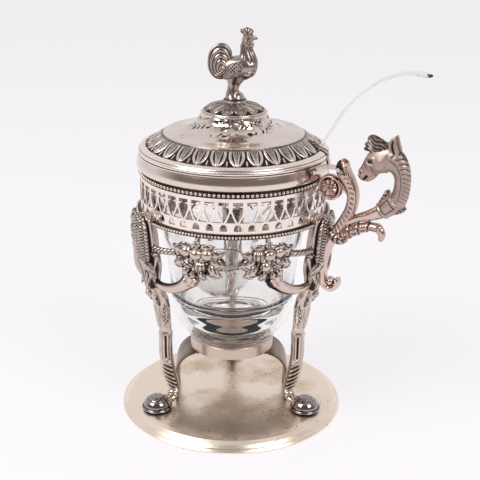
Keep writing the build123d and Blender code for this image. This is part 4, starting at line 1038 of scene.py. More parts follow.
def cluster(side):
    """Bunch of fruit: large and small fruit over crowded dark foliage, with serrated leaves all round."""
    def at(*place):
        return around_cluster(side, *place)
    mass = np.array([
        (-9.2, 0.2, 3.0, 0.5, 0.7), (-6.6, 0.3, 1.6, 1.4, 3.0), (-3.2, 0.4, 0.0, 2.0, 5.0),
        (0.4, 0.4, -0.8, 2.2, 5.6), (3.8, 0.4, -1.2, 2.0, 4.8), (7.2, 0.3, -1.6, 1.4, 3.2),
        (10.0, 0.2, -2.2, 0.5, 0.7),
    ])
    spine = np.array([at(*row[:3]) for row in mass])
    large = [
        (0.2, 1.5, 2.2, 2.35, 4.5, cleft), (4.2, 1.7, 2.4, 2.15, 4.3, eyed if side > 0 else ribbed),
        (-3.6, 1.3, 2.7, 1.9, 4.2, cleft), (1.6, 1.7, -2.0, 2.05, 4.0, ribbed if side > 0 else eyed),
        (-2.6, 1.3, -1.6, 1.95, 4.2, scaled),
    ]
    grids = [fruit(at(a, o + 0.5, z), 1.08 * r, 1.08 * h, kind, 22, 40) for a, o, z, r, h, kind in large]
    core = np.hstack([spine, mass[:, 3:]])
    grids.append(limb(core, side=vertical, relief=foliage_skin, around=72, steps=10))
    small = [
        (-1.4, 3.0, 0.2), (0.4, 3.2, -0.4), (2.4, 3.0, 0.3), (3.9, 2.3, -1.0), (-0.6, 2.8, -3.6),
        (-4.9, 1.5, -0.2), (-1.2, 2.4, 4.9), (2.6, 2.2, 5.0), (0.6, 2.2, -4.2), (-4.4, 1.6, 1.0),
    ]
    for k, (a, o, z) in enumerate(small):
        size = k % 3
        grids.append(fruit(at(a, o - 0.5, z), 0.78 + 0.12 * size, 1.6 + 0.2 * size, rows=8, around=12))
    stem = np.array([at(0.2, 0.6, 3.6), at(0.1, 0.2, 6.0), at(0.0, -0.2, 7.7)])
    thick = np.array([[1.1, 1.6], [0.9, 1.25], [0.9, 1.9]])
    grids.append(limb(np.hstack([stem, thick]), side=outward, around=16))
    stem_beads = [(-0.9, 5.2), (0.9, 5.2), (-0.7, 6.3), (0.7, 6.3), (0.0, 7.1), (0.0, 4.6)]
    grids += beads([at(x, 1.5, z) for x, z in stem_beads], 0.55)
    leaves = [
        [(4.4, 1.2, 1.6), (7.4, 2.7, 2.4), (10.4, 1.2, 3.4)],
        [(3.6, 1.2, -2.2), (6.6, 2.9, -4.4), (9.4, 1.2, -6.2)],
        [(4.6, 1.4, -0.2), (8.0, 3.0, -1.0), (11.2, 1.4, -2.0)],
        [(-4.2, 1.0, 2.2), (-6.8, 2.5, 3.2), (-9.6, 1.0, 4.4)],
        [(-3.8, 1.0, -0.8), (-6.4, 2.6, -2.0), (-9.0, 1.0, -2.6)],
        [(0.6, 1.6, -4.0), (2.4, 3.0, -5.8), (4.0, 1.4, -7.4)],
        [(-2.2, 1.6, -3.6), (-3.8, 2.9, -5.4), (-5.2, 1.2, -6.6)],
        [(-1.8, 1.2, 4.0), (-4.2, 2.5, 5.0), (-6.6, 1.0, 5.2)],
        [(1.6, 1.2, 4.4), (4.2, 2.4, 5.0), (6.8, 1.0, 5.2)],
        [(-0.6, 2.0, -4.4), (-0.9, 3.0, -6.2), (-1.4, 1.4, -7.8)],
    ]
    for k, rows in enumerate(leaves):
        grids.append(leaf_blade([at(*row) for row in rows], 2.3 if k < 5 else 1.7, 0.6, 5, side=vertical))
    return grids


def rope_skin(run, angle, skin):
    """Rope of three strands that twist round it."""
    strand = wave(1.5 * (angle / np.pi) + run / 2.0)
    return 0.34 * strand - 0.12, 0.95 * ease(0.6, 0.15, strand)


def garland(side):
    """Twisted rope from the leg to the bunch, with a curled leaf below its root."""
    share = np.linspace(0, 1, 7)
    rise = 0.6 - 1.6 * (1 - share) - 0.6 * np.sin(np.pi * share)
    path = polar_point(SWAG_R, side * CLUSTER_STEP * (0.05 + 0.6 * share), CLUSTER_Z + rise)
    rows = np.column_stack([path, np.full((7, 2), 1.05)])
    rope = limb(rows, side=outward, relief=rope_skin, around=30, steps=14)
    places = ((4.5, -4.6), (7.5, -2.9), (11.5, -3.0), (14.0, -5.2))
    curl = [polar_point(SWAG_R + 0.4, side * azimuth, CLUSTER_Z + z) for azimuth, z in places]
    return [rope, leaf_blade(curl, 1.2, 0.5, 6, side=outward)]


for word, side in (("left", -1), ("right", 1)):
    drawn = {"horn": horn(side), "fruit": cluster(side), "garland": garland(side)}
    for kind, grids in drawn.items():
        finish = POLISHED if kind == "horn" else CAST
        for k in range(LEGS):
            node = f"{kind}_{k + 1}_{word}"
            build(node + "_cast", spread(grids, LEG_STEP * k), "pot", finish, node)
    print(word, {kind: sum(g.shape[0] * g.shape[1] for g, _ in grids) for kind, grids in drawn.items()})

# %% [markdown]
# The lines that a graver would leave are chased on a casting: short soft strokes, given as two points in
# the handle's plane with a width and a height, push the skin out or in on both sides alike.

# %% Chasing by strokes
CHASE_FROM_Y = 0.25


def chase(grid, strokes):
    """Pushes a grid's flanks out or in along soft strokes (x1, z1, x2, z2, half width, height, darkness).

    The share of a stroke falls off as the exponential of minus the squared distance from its segment.
    """
    skin, depth = grid[0].copy(), np.array(np.broadcast_to(grid[1], grid[0].shape[:2]), float)
    flat = skin[..., [0, 2]]
    sign = np.sign(skin[..., 1])
    reach = ease(0.0, CHASE_FROM_Y, np.abs(skin[..., 1]))
    push = np.zeros_like(depth)
    for x1, z1, x2, z2, half, height, dark in strokes:
        a, b = np.array([x1, z1]), np.array([x2, z2])
        along = unit(((flat - a) @ (b - a)) / max(1e-9, (b - a) @ (b - a)))
        share = stroke(np.linalg.norm(flat - a - along[..., None] * (b - a), axis=-1), half) * reach
        push += height * share
        depth = np.maximum(depth, dark * share) if dark >= 0 else depth * (1 - share)
    skin[..., 1] += sign * push
    return skin, unit(depth)

# %% [markdown]
# The handle is several castings soldered together. The C scroll carries the hinge at its top and is
# chased with a row of short slanting strokes between dark borders. A round volute with a rosette fills
# the gap to the gallery, a plain tail runs down the leg and curls up round a button, and a leaf-wrapped
# branch and a smooth sleeve lead out to the horse.

# %% Scrolls of the handle
HX, _, HZ = HINGE
FORK_GAP = 1.3
KNUCKLE_ROOM = 1.9


def at_hinge(rows):
    """Stations of the handle's plane given from the hinge pin: (x, z, half thickness, half width)."""
    return upright(moved(rows, HX, HZ))


def chased(run, angle, skin):
    """Short slanting strokes along the middle of both flat sides, with a dark line near each edge."""
    across = np.cos(angle)
    flat = np.abs(np.sin(angle)) > 0.35
    strokes = stroke((run / 1.9 + 0.6 * across) % 1 - 0.5, 0.12) * stroke(across + 0.1, 0.34)
    border = stroke(np.abs(across) - 0.72, 0.08)
    dark = (0.95 * strokes + 0.8 * border) * flat
    top = ease(5.5, 2.5, run) * stroke(across - 0.4, 0.6)
    dark = dark + 0.9 * ease(0.74, 0.9, across) + top
    return -0.28 * strokes * flat - 0.2 * border * flat, dark


def forked(piece):
    """Cuts the hinge's slot out of the scroll, exactly, as the solid has it."""
    room = KNUCKLE_ROOM
    slot = [HX, HZ] + np.array([
        (-6, -room), (0, -room), (0.7 * room, -0.7 * room), (room, 0), (room, 0.6), (room + 1.6, 8),
        (-6, 8),
    ])
    mesh = bpy.data.meshes.new("fork slot")
    n = len(slot)
    points = [(x * MM, y * MM, z * MM) for y in (-FORK_GAP, FORK_GAP) for x, z in slot]
    walls = [((k + 1) % n, k, n + k, n + (k + 1) % n) for k in range(n)]
    mesh.from_pydata(points, [], [tuple(range(n)), tuple(range(n, 2 * n))[::-1]] + walls)
    return combined(piece, placed("cutter", mesh), "DIFFERENCE", crossing=True)


c_scroll = limb(at_hinge([
    (1.1, 3.2, 1.1, 2.0), (0.9, 2.6, 1.7, 2.4), (0.8, 1.4, 2.2, 2.7), (1.1, -0.8, 2.4, 2.75),
    (4.0, -5.2, 2.2, 2.3), (5.3, -9.2, 2.1, 2.1), (4.9, -13.8, 2.1, 2.1), (3.2, -18.0, 2.1, 2.05),
    (0.4, -22.4, 1.9, 2.0), (-1.6, -25.0, 1.4, 1.7),
]), relief=chased, around=72, steps=14, square=0.62)
c_scroll = chase(c_scroll, [
    (45.4, 109.2, 46.7, 107.2, 0.5, -0.35, 1.0), (46.7, 107.2, 47.9, 105.2, 0.32, -0.25, 0.95),
    (46.6, 109.4, 48.9, 106.0, 0.28, 0.2, -1.0), (44.4, 107.4, 45.6, 106.0, 0.3, -0.2, 0.8),
])
forked(build("c_scroll_cast", [c_scroll], "pot", PINK, "handle_c_scroll"))

VOLUTE = (HX - 3.8, HZ - 7.6)
VOLUTE_R = 4.9


def volute_disc():
    """Disc in the handle's plane: rim, dark ring, eight petals and an eye, alike on both faces, with painted
    shade that darkens its recesses most towards the top and away from the pot.
    """
    radius = np.linspace(0, VOLUTE_R, 46)[:, None]
    r = radius * 4.4 / VOLUTE_R
    turn = np.linspace(0, 2 * np.pi, 120, endpoint=False)[None, :]
    petal = wave(4 * turn / np.pi) ** 0.6 * between(r, 1.25, 2.7, 0.2)
    rim = between(r, 3.45, 4.6, 0.12)
    eye = stroke(r - 0.8, 0.28)
    half = 1.0 + 0.75 * rim + 0.62 * petal + 0.95 * eye - 0.9 * ease(4.0, 4.42, r) + 0.3 * stroke(r, 0.3)
    # Painted shade: the recesses darken most towards the top and away from the pot.
    shade = 0.45 + 0.55 * ease(-0.4, 0.6, np.cos(turn - np.pi / 4))
    dark = shade * (unit(1 - 1.1 * rim - 1.15 * petal - 1.1 * eye) + 0.5 * stroke(r - 3.55, 0.12))
    dark = dark + 0 * turn
    x, z = VOLUTE[0] + radius * np.cos(turn), VOLUTE[1] + radius * np.sin(turn)
    right, left = (np.stack([x, side * half + 0 * x, z], axis=-1) for side in (-1, 1))
    return np.concatenate([right, left[::-1]]), np.concatenate([dark, dark[::-1]])


volute_link = limb(upright(moved([
    (0.5, 3.4, 0.8, 1.4), (4.0, 2.6, 0.9, 1.4), (6.6, -0.6, 0.8, 1.4), (8.0, -3.0, 0.6, 1.3),
], *VOLUTE)), around=24)
build("volute_cast", [volute_disc(), volute_link], "pot", PINK, "handle_volute")

CURL_X, CURL_Z, CURL_R = -2.2, -44.6, 2.9
turn = np.radians(np.arange(190, 396, 25.0))
curl_rows = np.column_stack([
    CURL_X + CURL_R * np.cos(turn), CURL_Z + CURL_R * np.sin(turn), np.linspace(1.35, 0.85, len(turn)),
    np.full(len(turn), 2.1),
])


def tail_skin(run, angle, skin):
    """Dark inside of the curl."""
    return 0.0, 0.9 * stroke(run - run[-1], 3.0) * (np.cos(angle) < -0.4)


tail = limb(at_hinge([
    (-1.6, -25.2, 2.2, 2.1), (-3.6, -29.6, 2.1, 2.1), (-5.4, -35.0, 1.9, 2.1), (-5.9, -40.0, 1.6, 2.1),
    *curl_rows,
]), relief=tail_skin, around=48, square=0.7)
button = fruit((HX + CURL_X, 0, HZ + CURL_Z), 1.75, 4.3, rows=16, around=32, lean=(0, 1, 0))
build("tail_scroll_cast", [tail, button], "pot", POLISHED, "handle_tail_scroll")

# %% Sleeve, leaf branch and calyx
def sleeve_skin(run, angle, skin):
    """Dark line before the sleeve's wide end."""
    return 0.0, 0.55 * stroke(run - run[-1] + 2.2, 0.7) + 0 * angle


sleeve = limb(at_hinge([
    (1.2, -21.6, 1.2, 1.4), (7.4, -17.8, 1.6, 1.8), (11.8, -16.0, 2.1, 2.1), (16.4, -13.6, 2.7, 2.6),
    (18.4, -11.9, 3.1, 3.0),
]), relief=sleeve_skin, around=48)
build("sleeve_cast", [sleeve], "pot", POLISHED, "handle_arm")


def branch_skin(run, angle, skin):
    """Leaf wrapped round the branch: lobes that overlap along it, each with a dark edge and small veins."""
    lobe = (run / 3.9 + 0.18 * np.cos(angle)) % 1
    on = ease(20.5, 18.5, run) * ease(1.5, 3.0, run)
    edge = stroke(lobe - 0.96, 0.07) + stroke(lobe + 0.04, 0.07)
    veins = wave(run / 0.95 + 0.8 * np.cos(angle)) * between(lobe, 0.2, 0.8, 0.1)
    under = stroke(np.cos(angle) - 0.15 - 0.3 * np.sin(np.pi * lobe), 0.1)
    dark = 0.95 * edge + 0.3 * veins + 0.75 * under * (lobe < 0.8)
    return on * (0.45 * lobe - 0.5 * edge - 0.12 * veins), on * dark


branch = limb(at_hinge([
    (-1.8, -26.6, 2.5, 1.9), (2.4, -24.6, 2.5, 2.1), (6.6, -22.5, 2.1, 2.1), (10.2, -20.8, 1.8, 2.0),
    (13.4, -20.0, 1.6, 1.9), (15.9, -20.4, 1.6, 1.8), (17.3, -22.4, 1.4, 1.5), (17.0, -24.4, 0.95, 1.1),
    (16.8, -25.1, 0.4, 0.5),
]), relief=branch_skin, around=72, steps=14)
root = limb(at_hinge([
    (-3.6, -24.2, 0.5, 0.8), (-2.8, -25.2, 1.9, 2.2), (-0.8, -26.6, 2.4, 2.6), (1.4, -27.2, 2.0, 2.4),
    (3.6, -27.0, 0.7, 1.0),
]), relief=leaf_skin, around=48, steps=8)
build("leaf_branch_cast", [branch, root], "pot", PINK, "handle_leaf_branch")


def calyx_skin(run, angle, skin):
    """Calyx: an engraved panel of slanting lines on both flat sides, framed by a groove."""
    across = np.cos(angle)
    mid = run[-1, 0] / 2
    frame_line = stroke(np.maximum(np.abs(across) / 0.55, np.abs(run - mid) / 2.2) - 1, 0.1)
    inside = (np.abs(across) < 0.5) & (np.abs(run - mid) < 2.0)
    lines = (1 - wave(run / 0.8 + across * 2.0)) * inside
    lip = stroke(run - 0.6, 0.3) + stroke(run - 2 * mid + 0.5, 0.3)
    flat = np.abs(np.sin(angle)) > 0.3
    height = 0.25 * lip - 0.25 * frame_line * flat - 0.12 * lines * flat
    return height, (0.85 * frame_line + 0.6 * lines) * flat


cup = limb(at_hinge([
    (16.6, -13.6, 3.1, 3.0), (19.2, -11.2, 3.7, 3.5), (21.4, -9.0, 3.8, 3.6), (21.9, -8.4, 3.2, 3.1),
]), relief=calyx_skin, around=72, steps=12)
tip_lines = (
    ([(15.6, -11.0), (17.2, -8.2), (18.3, -6.0), (19.4, -5.2)], 0.7),
    ([(20.4, -13.4), (22.6, -12.8), (24.6, -11.6), (25.9, -10.7)], 0.8),
)
tips = [leaf_blade(at_hinge(line), 1.7, thick, 2, side=sideways) for line, thick in tip_lines]
build("calyx_cast", [cup] + tips, "pot", HORSE, "handle_neck_collar")

# %% [markdown]
# The horse looks back at the lid. Its neck and head are one cast form along a line that arches over and
# runs down to the muzzle. Its face is chased by the same kind of strokes as the scroll: the brow, the
# eye, the nostril and the open mouth.

# %% Horse
def neck_skin(run, angle, skin):
    """Neck: curved strokes of the mane on the outer side, smooth inside."""
    a = np.abs(angle)
    on = ease(1.0, 2.5, run) * ease(19.5, 17.5, run)
    mane = ease(1.34, 1.1, a) * on
    lock = wave(run / 1.35 - 0.9 * a)
    groove = ease(0.6, 0.15, lock)
    edge = stroke(a - 1.42, 0.1) * on
    slope = ease(8.0, 14.0, run)
    dark = (0.6 + 0.3 * slope) * mane * groove + 0.6 * edge
    return mane * (0.2 * lock - 0.08) - 0.08 * edge, dark


neck = limb(upright([
    (67.6, 96.6, 3.1, 2.9), (68.1, 98.6, 3.0, 2.8), (68.7, 100.9, 3.0, 2.8), (69.1, 103.7, 2.9, 2.9),
    (69.0, 107.0, 2.95, 3.0), (68.0, 109.8, 3.5, 3.1), (66.1, 111.8, 4.3, 3.2), (63.5, 112.7, 4.9, 3.35),
    (61.0, 112.2, 4.95, 3.4), (58.9, 110.9, 4.5, 3.3), (57.1, 109.0, 3.7, 2.8), (55.7, 107.4, 3.0, 2.3),
    (54.6, 106.2, 2.6, 2.15), (53.9, 105.3, 2.3, 2.0), (53.1, 104.7, 1.5, 1.5), (52.9, 104.5, 0.5, 0.7),
]), relief=neck_skin, around=112, steps=14)
neck = chase(neck, [
    (60.6, 109.6, 61.6, 111.4, 1.9, 0.6, 0.0), (56.9, 111.5, 57.6, 111.5, 0.8, -0.6, 0.9),
    (57.1, 111.4, 57.3, 111.4, 0.4, 0.7, 0.6), (56.0, 112.7, 58.6, 112.9, 0.42, 0.45, -1.0),
    (56.2, 110.4, 58.2, 110.3, 0.25, 0.35, -1.0), (57.4, 109.9, 58.4, 107.2, 0.35, -0.35, 0.5),
    (53.1, 106.9, 53.5, 106.3, 0.34, -0.5, 0.95), (52.8, 107.6, 54.2, 107.3, 0.45, 0.35, -1.0),
    (54.4, 103.8, 56.0, 105.7, 0.42, -0.8, 1.0), (53.4, 105.6, 54.8, 106.0, 0.5, 0.3, -1.0),
    (55.3, 103.7, 56.6, 104.2, 0.5, 0.3, -1.0), (54.9, 109.6, 56.4, 108.2, 0.5, -0.25, 0.2),
    (62.8, 109.0, 64.0, 114.6, 0.4, -0.25, 0.3),
])


def hair(run, angle, skin):
    """Locks of hair along a form, with dark lines between them."""
    lines = wave(angle * 5 / np.pi + run / 6.0)
    return 0.22 * lines, 0.5 + 0.5 * (1 - lines)


def crest_skin(share, angle, flat):
    """Locks swept back from the forelock to the ears, dark between them, with a painted highlight that
    lightens one lock in front.
    """
    x, z = flat[..., 0], flat[..., 1]
    lines = wave((z + 0.35 * x) / 1.25 + 0.25 * np.sin(1.2 * x))
    # Painted highlight: a lighter band on the front of the crest.
    light = stroke(x - 56.6 - 0.4 * (118.0 - z), 0.7) * ease(120.0, 118.5, z)
    return 0.3 * lines, 0.85 - 0.35 * lines - 0.75 * light


forelock = [
    (55.6, 114.7), (54.4, 114.9), (53.9, 115.7), (54.7, 116.4), (54.1, 117.1), (54.7, 117.9), (55.6, 118.2),
    (55.1, 119.1), (55.6, 120.2), (56.9, 120.8), (59.3, 120.1), (61.9, 118.9), (64.0, 118.2), (65.2, 116.2),
    (64.2, 114.2), (61.5, 113.6), (58.5, 114.0),
]
crest = [
    swollen(forelock, (59.0, 116.6), 2.5, relief=crest_skin),
    limb(upright([
        (65.0, 116.4, 0.5, 0.8), (66.8, 115.2, 1.2, 1.7), (68.4, 113.3, 1.5, 1.9), (69.9, 110.8, 1.1, 1.6),
        (70.6, 108.4, 0.4, 0.8),
    ]), relief=hair, around=40, steps=8),
    limb(upright([
        (58.9, 106.6, 0.9, 1.6), (57.5, 105.2, 1.0, 1.55), (56.4, 104.4, 0.9, 1.4),
        (55.6, 104.0, 0.75, 1.1), (55.2, 103.8, 0.3, 0.5),
    ]), around=32, steps=8),
]


def ear_skin(side):
    """Relief of an ear: its hollow on the outer side, dark inside."""
    def relief(run, angle, skin):
        hollow = stroke(np.cos(angle) + 0.15, 0.55) * (skin[..., 1] * side > 0)
        dark = stroke(np.cos(angle), 0.5) * (np.sin(angle) * side > 0)
        tip = run[-1, 0] - 1.2
        return -0.42 * hollow * between(run, 1.2, tip), dark * between(run, 1.0, tip, 0.5)
    return relief


for y in (-1, 1):
    crest.append(limb([
        (66.4, 1.5 * y, 114.4, 1.4, 1.1), (65.7, 1.8 * y, 116.4, 1.8, 1.0),
        (65.2, 1.9 * y, 118.4, 1.6, 0.8), (65.4, 1.8 * y, 120.3, 1.0, 0.55),
        (65.8, 1.6 * y, 121.4, 0.25, 0.25),
    ], relief=ear_skin(y), around=32))
build("horse_cast", [neck] + crest, "pot", HORSE, "horse_head")

# %% [markdown]
# The rooster is drawn in the plane that it faces along, and then turned by the strap's angle. Its
# tail is a flat swollen form with the long feathers as rings that share a focus low on its back, its
# wings are swollen forms laid on the flanks, and its feathers are formulas over the skin.

# %% Rooster
ROOSTER_TURN = STRAP_TURN
FOOT_Z = ROSETTE_TOP - 0.05


def feathers(run, angle, skin):
    """Small overlapping feathers: crossed waves, finer on the neck."""
    v = wave(skin[..., 2] / 1.15 + 1.6 * np.cos(angle)) * wave(skin[..., 2] / 1.15 - 1.6 * np.cos(angle))
    return 0.22 * v - 0.05, 0.7 * ease(0.45, 0.1, v)


def hackle(run, angle, skin):
    """Long neck feathers that hang down and backwards, with dark lines between them."""
    lines = wave(angle * 7 / np.pi + run * 0.16)
    return 0.3 * lines - 0.1, 0.85 * ease(0.6, 0.15, lines)


def pedestal_skin(run, angle, skin):
    """Feet and thighs: a groove between the legs on both sides, and feathering below the body."""
    z = skin[..., 2] - FOOT_Z
    side = stroke(np.cos(angle), 0.22) * ease(1.4, 3.0, z)
    ring = stroke(z - 1.5, 0.35)
    upper = ease(6.5, 8.0, z)
    thigh = wave(skin[..., 2] / 0.9 + 2.2 * np.cos(angle)) * upper
    dark = 0.8 * side + 0.8 * ring + 0.4 * (1 - thigh) * upper
    return -0.4 * side - 0.3 * ring + 0.15 * thigh, dark


def body_skin(run, angle, skin):
    """Feathers of the body, which end before the tail and on the belly."""
    on = ease(0.5, 3.0, run) * ease(0.3, -0.4, 0.2 - np.cos(angle))
    return tuple(value * on for value in feathers(run, angle, skin))


def neck_feathers(run, angle, skin):
    """Long feathers of the neck, which end at the head."""
    return tuple(value * ease(9.6, 8.4, run) for value in hackle(run, angle, skin))


def beak_skin(run, angle, skin):
    """Dark line between the two halves of the beak."""
    return 0.0, 0.8 * stroke(np.cos(angle) + 0.35, 0.15) + 0 * run


def comb_skin(share, angle, flat):
    """Ridges of the comb, which fan out from the head."""
    ridges = wave(np.arctan2(flat[..., 1] - 150.3, flat[..., 0] - 4.6) * 2.6)
    return 0.3 * ridges, 0.85 * (1 - ridges)


pedestal = limb(upright(moved([
    (0.0, -0.3, 4.3, 4.3), (0.0, 0.1, 4.65, 4.65), (0.0, 0.7, 4.75, 4.75), (-0.1, 1.4, 4.3, 4.2),
    (-0.2, 2.3, 3.7, 3.5), (-0.5, 3.6, 2.75, 2.6), (-0.5, 5.3, 2.2, 2.2), (-0.2, 7.0, 2.4, 2.3),
    (0.1, 8.8, 3.3, 2.9), (0.6, 10.6, 4.0, 3.2),
], 0.0, FOOT_Z)), relief=pedestal_skin, around=72, steps=10)
body = limb(upright([
    (-5.6, 138.4, 1.2, 1.0), (-4.4, 138.5, 2.4, 1.9), (-2.6, 138.6, 3.5, 2.8), (-0.2, 138.8, 4.3, 3.5),
    (2.6, 138.9, 4.7, 3.9), (5.2, 139.4, 4.3, 3.7), (7.0, 140.0, 3.1, 3.0), (8.0, 140.3, 1.9, 2.0),
    (8.5, 140.4, 0.6, 0.8),
]), relief=body_skin, around=64)
neck_bird = limb(upright([
    (4.4, 138.4, 3.9, 3.5), (4.7, 141.0, 3.8, 3.2), (4.75, 143.0, 3.1, 2.7), (4.5, 145.0, 2.35, 2.1),
    (4.35, 147.0, 2.1, 1.8), (4.7, 148.8, 2.15, 1.75), (5.0, 150.2, 2.1, 1.65), (5.1, 151.2, 1.5, 1.2),
    (5.1, 151.7, 0.5, 0.5),
]), relief=neck_feathers, around=72, steps=10)
neck_bird = chase(neck_bird, [
    (4.9, 149.8, 5.1, 149.8, 0.55, -0.3, 0.8), (5.0, 149.8, 5.05, 149.8, 0.28, 0.5, 0.2),
    (3.6, 150.3, 6.3, 150.7, 0.28, 0.35, -1.0), (3.5, 150.0, 4.4, 147.4, 0.3, 0.3, -1.0),
    (5.6, 148.6, 5.2, 147.4, 0.5, -0.2, 0.6),
])
beak = limb(upright([
    (5.9, 149.9, 1.25, 1.1), (6.9, 149.9, 0.95, 0.8), (7.8, 149.7, 0.6, 0.5), (8.45, 149.4, 0.15, 0.2),
]), relief=beak_skin, around=24)
comb = swollen([
    (1.8, 152.3), (2.1, 153.1), (3.2, 153.3), (4.3, 153.85), (5.6, 153.4), (6.7, 152.9), (6.9, 151.9),
    (6.2, 151.0), (3.6, 150.8), (2.5, 151.5),
], (4.6, 151.0), 1.15, relief=comb_skin, rings=14)
wattles = [limb([
    (5.9, 0.7 * y, 148.5, 0.5, 0.4), (6.3, 0.8 * y, 147.7, 0.75, 0.45), (6.3, 0.8 * y, 146.9, 0.7, 0.4),
    (6.1, 0.7 * y, 146.4, 0.25, 0.2),
], around=20) for y in (-1, 1)]


def tail_rings(share, angle, flat):
    """Long tail feathers as rings about the focus, each with a bright crest and a fine quill line."""
    rings = wave(4.6 * share + 0.12 * np.sin(2 * angle))
    quills = wave(angle * 13 / np.pi) * 0.15
    low_end = ease(136.6, 134.8, flat[..., 1])
    height = 0.42 * rings - 0.1 + 0 * angle - 0.2 * quills * low_end
    return height, 0.95 * ease(0.62, 0.15, rings) + 0.35 * low_end


tail_bird = swollen([
    (-0.9, 143.6), (-1.3, 145.4), (-2.6, 147.1), (-4.4, 147.95), (-6.3, 147.7), (-8.3, 146.3),
    (-9.6, 144.1), (-10.15, 141.3), (-9.85, 138.2), (-8.2, 135.4), (-5.8, 134.4), (-3.6, 134.7),
    (-1.8, 136.6), (-0.6, 139.6),
], (-4.6, 138.0), 2.1, relief=tail_rings, rings=40, steps=10)


def wing_skin(share, angle, flat):
    """Wing: scales in front and long flight feathers behind."""
    x, z = flat[..., 0], flat[..., 1]
    scales = wave((x + z) / 1.3) * wave((x - z) / 1.3)
    flight = wave((z + 0.28 * x) / 0.85)
    behind = ease(137.9, 136.8, z - 0.15 * x)
    value = scales * (1 - behind) + flight * behind
    return 0.28 * value, 0.85 * ease(0.5, 0.1, value)


wing_line = [
    (-2.6, 140.2), (0.4, 141.2), (3.2, 141.2), (4.9, 140.4), (4.9, 138.6), (3.2, 137.0), (0.4, 135.7),
    (-2.4, 134.9), (-4.2, 134.9), (-3.9, 137.4),
]
wings = [
    swollen(wing_line, (0.6, 138.3), 1.15, 3.05 * y, wing_skin, rings=22, steps=8, bend=-0.045 * y)
    for y in (-1, 1)
]
stud_line = [(0.0, NECK_Z - 4.2), (1.45, NECK_Z - 4.2), (1.45, ROSETTE_TOP), (0.0, ROSETTE_TOP)]
stud = turned_block(smooth(stud_line, 1)[::-1], None, 24)
bird = spread([pedestal, body, neck_bird, beak, comb, tail_bird] + wattles + wings, ROOSTER_TURN) + [stud]
build("rooster_cast", bird, "lid", DARK_CAST, "rooster_finial")
print("rooster points:", sum(g.shape[0] * g.shape[1] for g, _ in bird))

# %% [markdown]
# The liner is pressed glass, so its outline is swept round as one closed skin, inside and outside, with
# soft steps at its foot. Glass needs a true wall: light bends at both faces. The ladle is drawn the same
# way, a deep round bowl and a flat stem, and the two are joined exactly into one skin.

# %% Glass liner
f = low_high("glass_liner")[0][2]
_, rim, top = low_high("glass_liner")[1]
outside = [
    (0.0, f), (14.4, f), (15.6, f + 0.2), (15.8, f + 0.8), (15.8, f + 5.0), (15.8, f + 5.0),
    (17.0, f + 5.4), (17.4, f + 6.0), (17.5, f + 6.7), (17.5, f + 6.7), (18.3, f + 7.0), (18.7, f + 7.7),
    (18.8, f + 8.3), (18.8, f + 8.3), (20.6, f + 9.7), (23.2, f + 13.6), (24.5, f + 18.0), (24.7, f + 22.0),
    (24.75, f + 27.0), (25.8, f + 36.0), (27.3, f + 45.0), (29.5, f + 56.0), (33.0, top - 8.0),
    (rim - 0.1, top - 0.8), (rim - 0.4, top - 0.1), (rim - 0.75, top),
]
inside_glass = [
    (rim - 1.1, top - 0.1), (rim - 1.5, top - 0.8), (31.5, top - 8.0), (27.5, f + 56.0), (25.3, f + 45.0),
    (23.85, f + 36.0), (22.7, f + 27.0), (22.1, f + 24.0), (19.5, f + 21.3), (15.5, f + 19.0),
    (10.7, f + 17.0), (5.7, f + 15.5), (0.0, f + 15.0),
]
glass_line = np.vstack([smooth(outside, 6), smooth(inside_glass, 6)])
build("liner_glass", [turned_block(glass_line, None, 256)], "pot", LINER_GLASS, "glass_liner")

# %% Ladle
LADLE_AT = np.array([-7.85, 4.13, 56.6])
LADLE_TURN = 6.9
BOWL_R = 13.0
BOWL_WALL = 1.1
BOWL_RISE = 2.8
STEM_LEAN = 0.747
lat = np.radians(np.linspace(0, 90, 28))
bowl_out = np.stack([BOWL_R * np.sin(lat), -BOWL_R * np.cos(lat)], axis=1)
bowl_in = bowl_out * (BOWL_R - BOWL_WALL) / BOWL_R
edge_r = BOWL_R - BOWL_WALL
lip = smooth([
    (BOWL_R, 0), (BOWL_R, BOWL_RISE - 0.3), (BOWL_R - 0.3, BOWL_RISE), (edge_r + 0.3, BOWL_RISE),
    (edge_r, BOWL_RISE - 0.3), (edge_r, 0),
], 4)
bowl = turned_block(np.vstack([bowl_out[:-1], lip, bowl_in[::-1][1:]]), None, 96)
stem = [(12.6, -0.8, 0.8), (12.7, 2.8, 1.0), (13.3, 8.8, 1.0), (14.9, 15.6, 1.0)]
stem += [(STEM_LEAN * z, z, 1.0) for z in (24.0, 37.0, 53.0)]
stem += [
    (43.9, 59.9, 1.0), (47.6, 66.1, 1.1), (50.8, 70.7, 1.3), (54.3, 74.4, 1.6), (58.7, 78.4, 2.0),
    (62.4, 81.1, 2.5), (66.9, 83.1, 3.1), (71.4, 84.3, 3.5), (75.4, 84.5, 3.5), (77.6, 84.4, 2.8),
    (78.5, 84.3, 1.6), (78.9, 84.3, 0.5),
]
stem_rows = [(x, max(0.0, 1.3 * w - 2.4), z, min(0.7, 0.8 * w), 1.3 * w) for x, z, w in stem]
stem_skin = limb(stem_rows, around=32, steps=6)


def to_place(grid):
    """Ladle's own frame to the pot's: turned about its bowl's axis, then moved."""
    return turned_about(grid[0], LADLE_TURN) + LADLE_AT, grid[1]


def united(name, first, second, body, finish, node):
    """Exact union of two closed skins as one piece."""
    whole = build(name, [first], body, finish, node)
    other = build(name + "_part", [second], body, finish)
    pieces.pop(name + "_part")
    return combined(whole, other, "UNION")


united("ladle_glass", to_place(bowl), to_place(stem_skin), "ladle", LADLE_GLASS, "ladle")
print("ladle faces:", len(pieces["ladle_glass"].data.polygons))

# %% [markdown]
# The photograph is taken from a little above the lid, with a long lens. The camera stands on the side
# where the handle points to the right, and its frame is a square of 480 pixels.

# %% Camera
CAMERA_AT = (191.82, -332.27, 210.11)
CAMERA_PITCH = 20.039
CAMERA_YAW = 29.573
CAMERA_ROLL = 0.747
FOCAL_PIXELS = 1029.06
FRAME_PIXELS = 480
SENSOR = 36.0


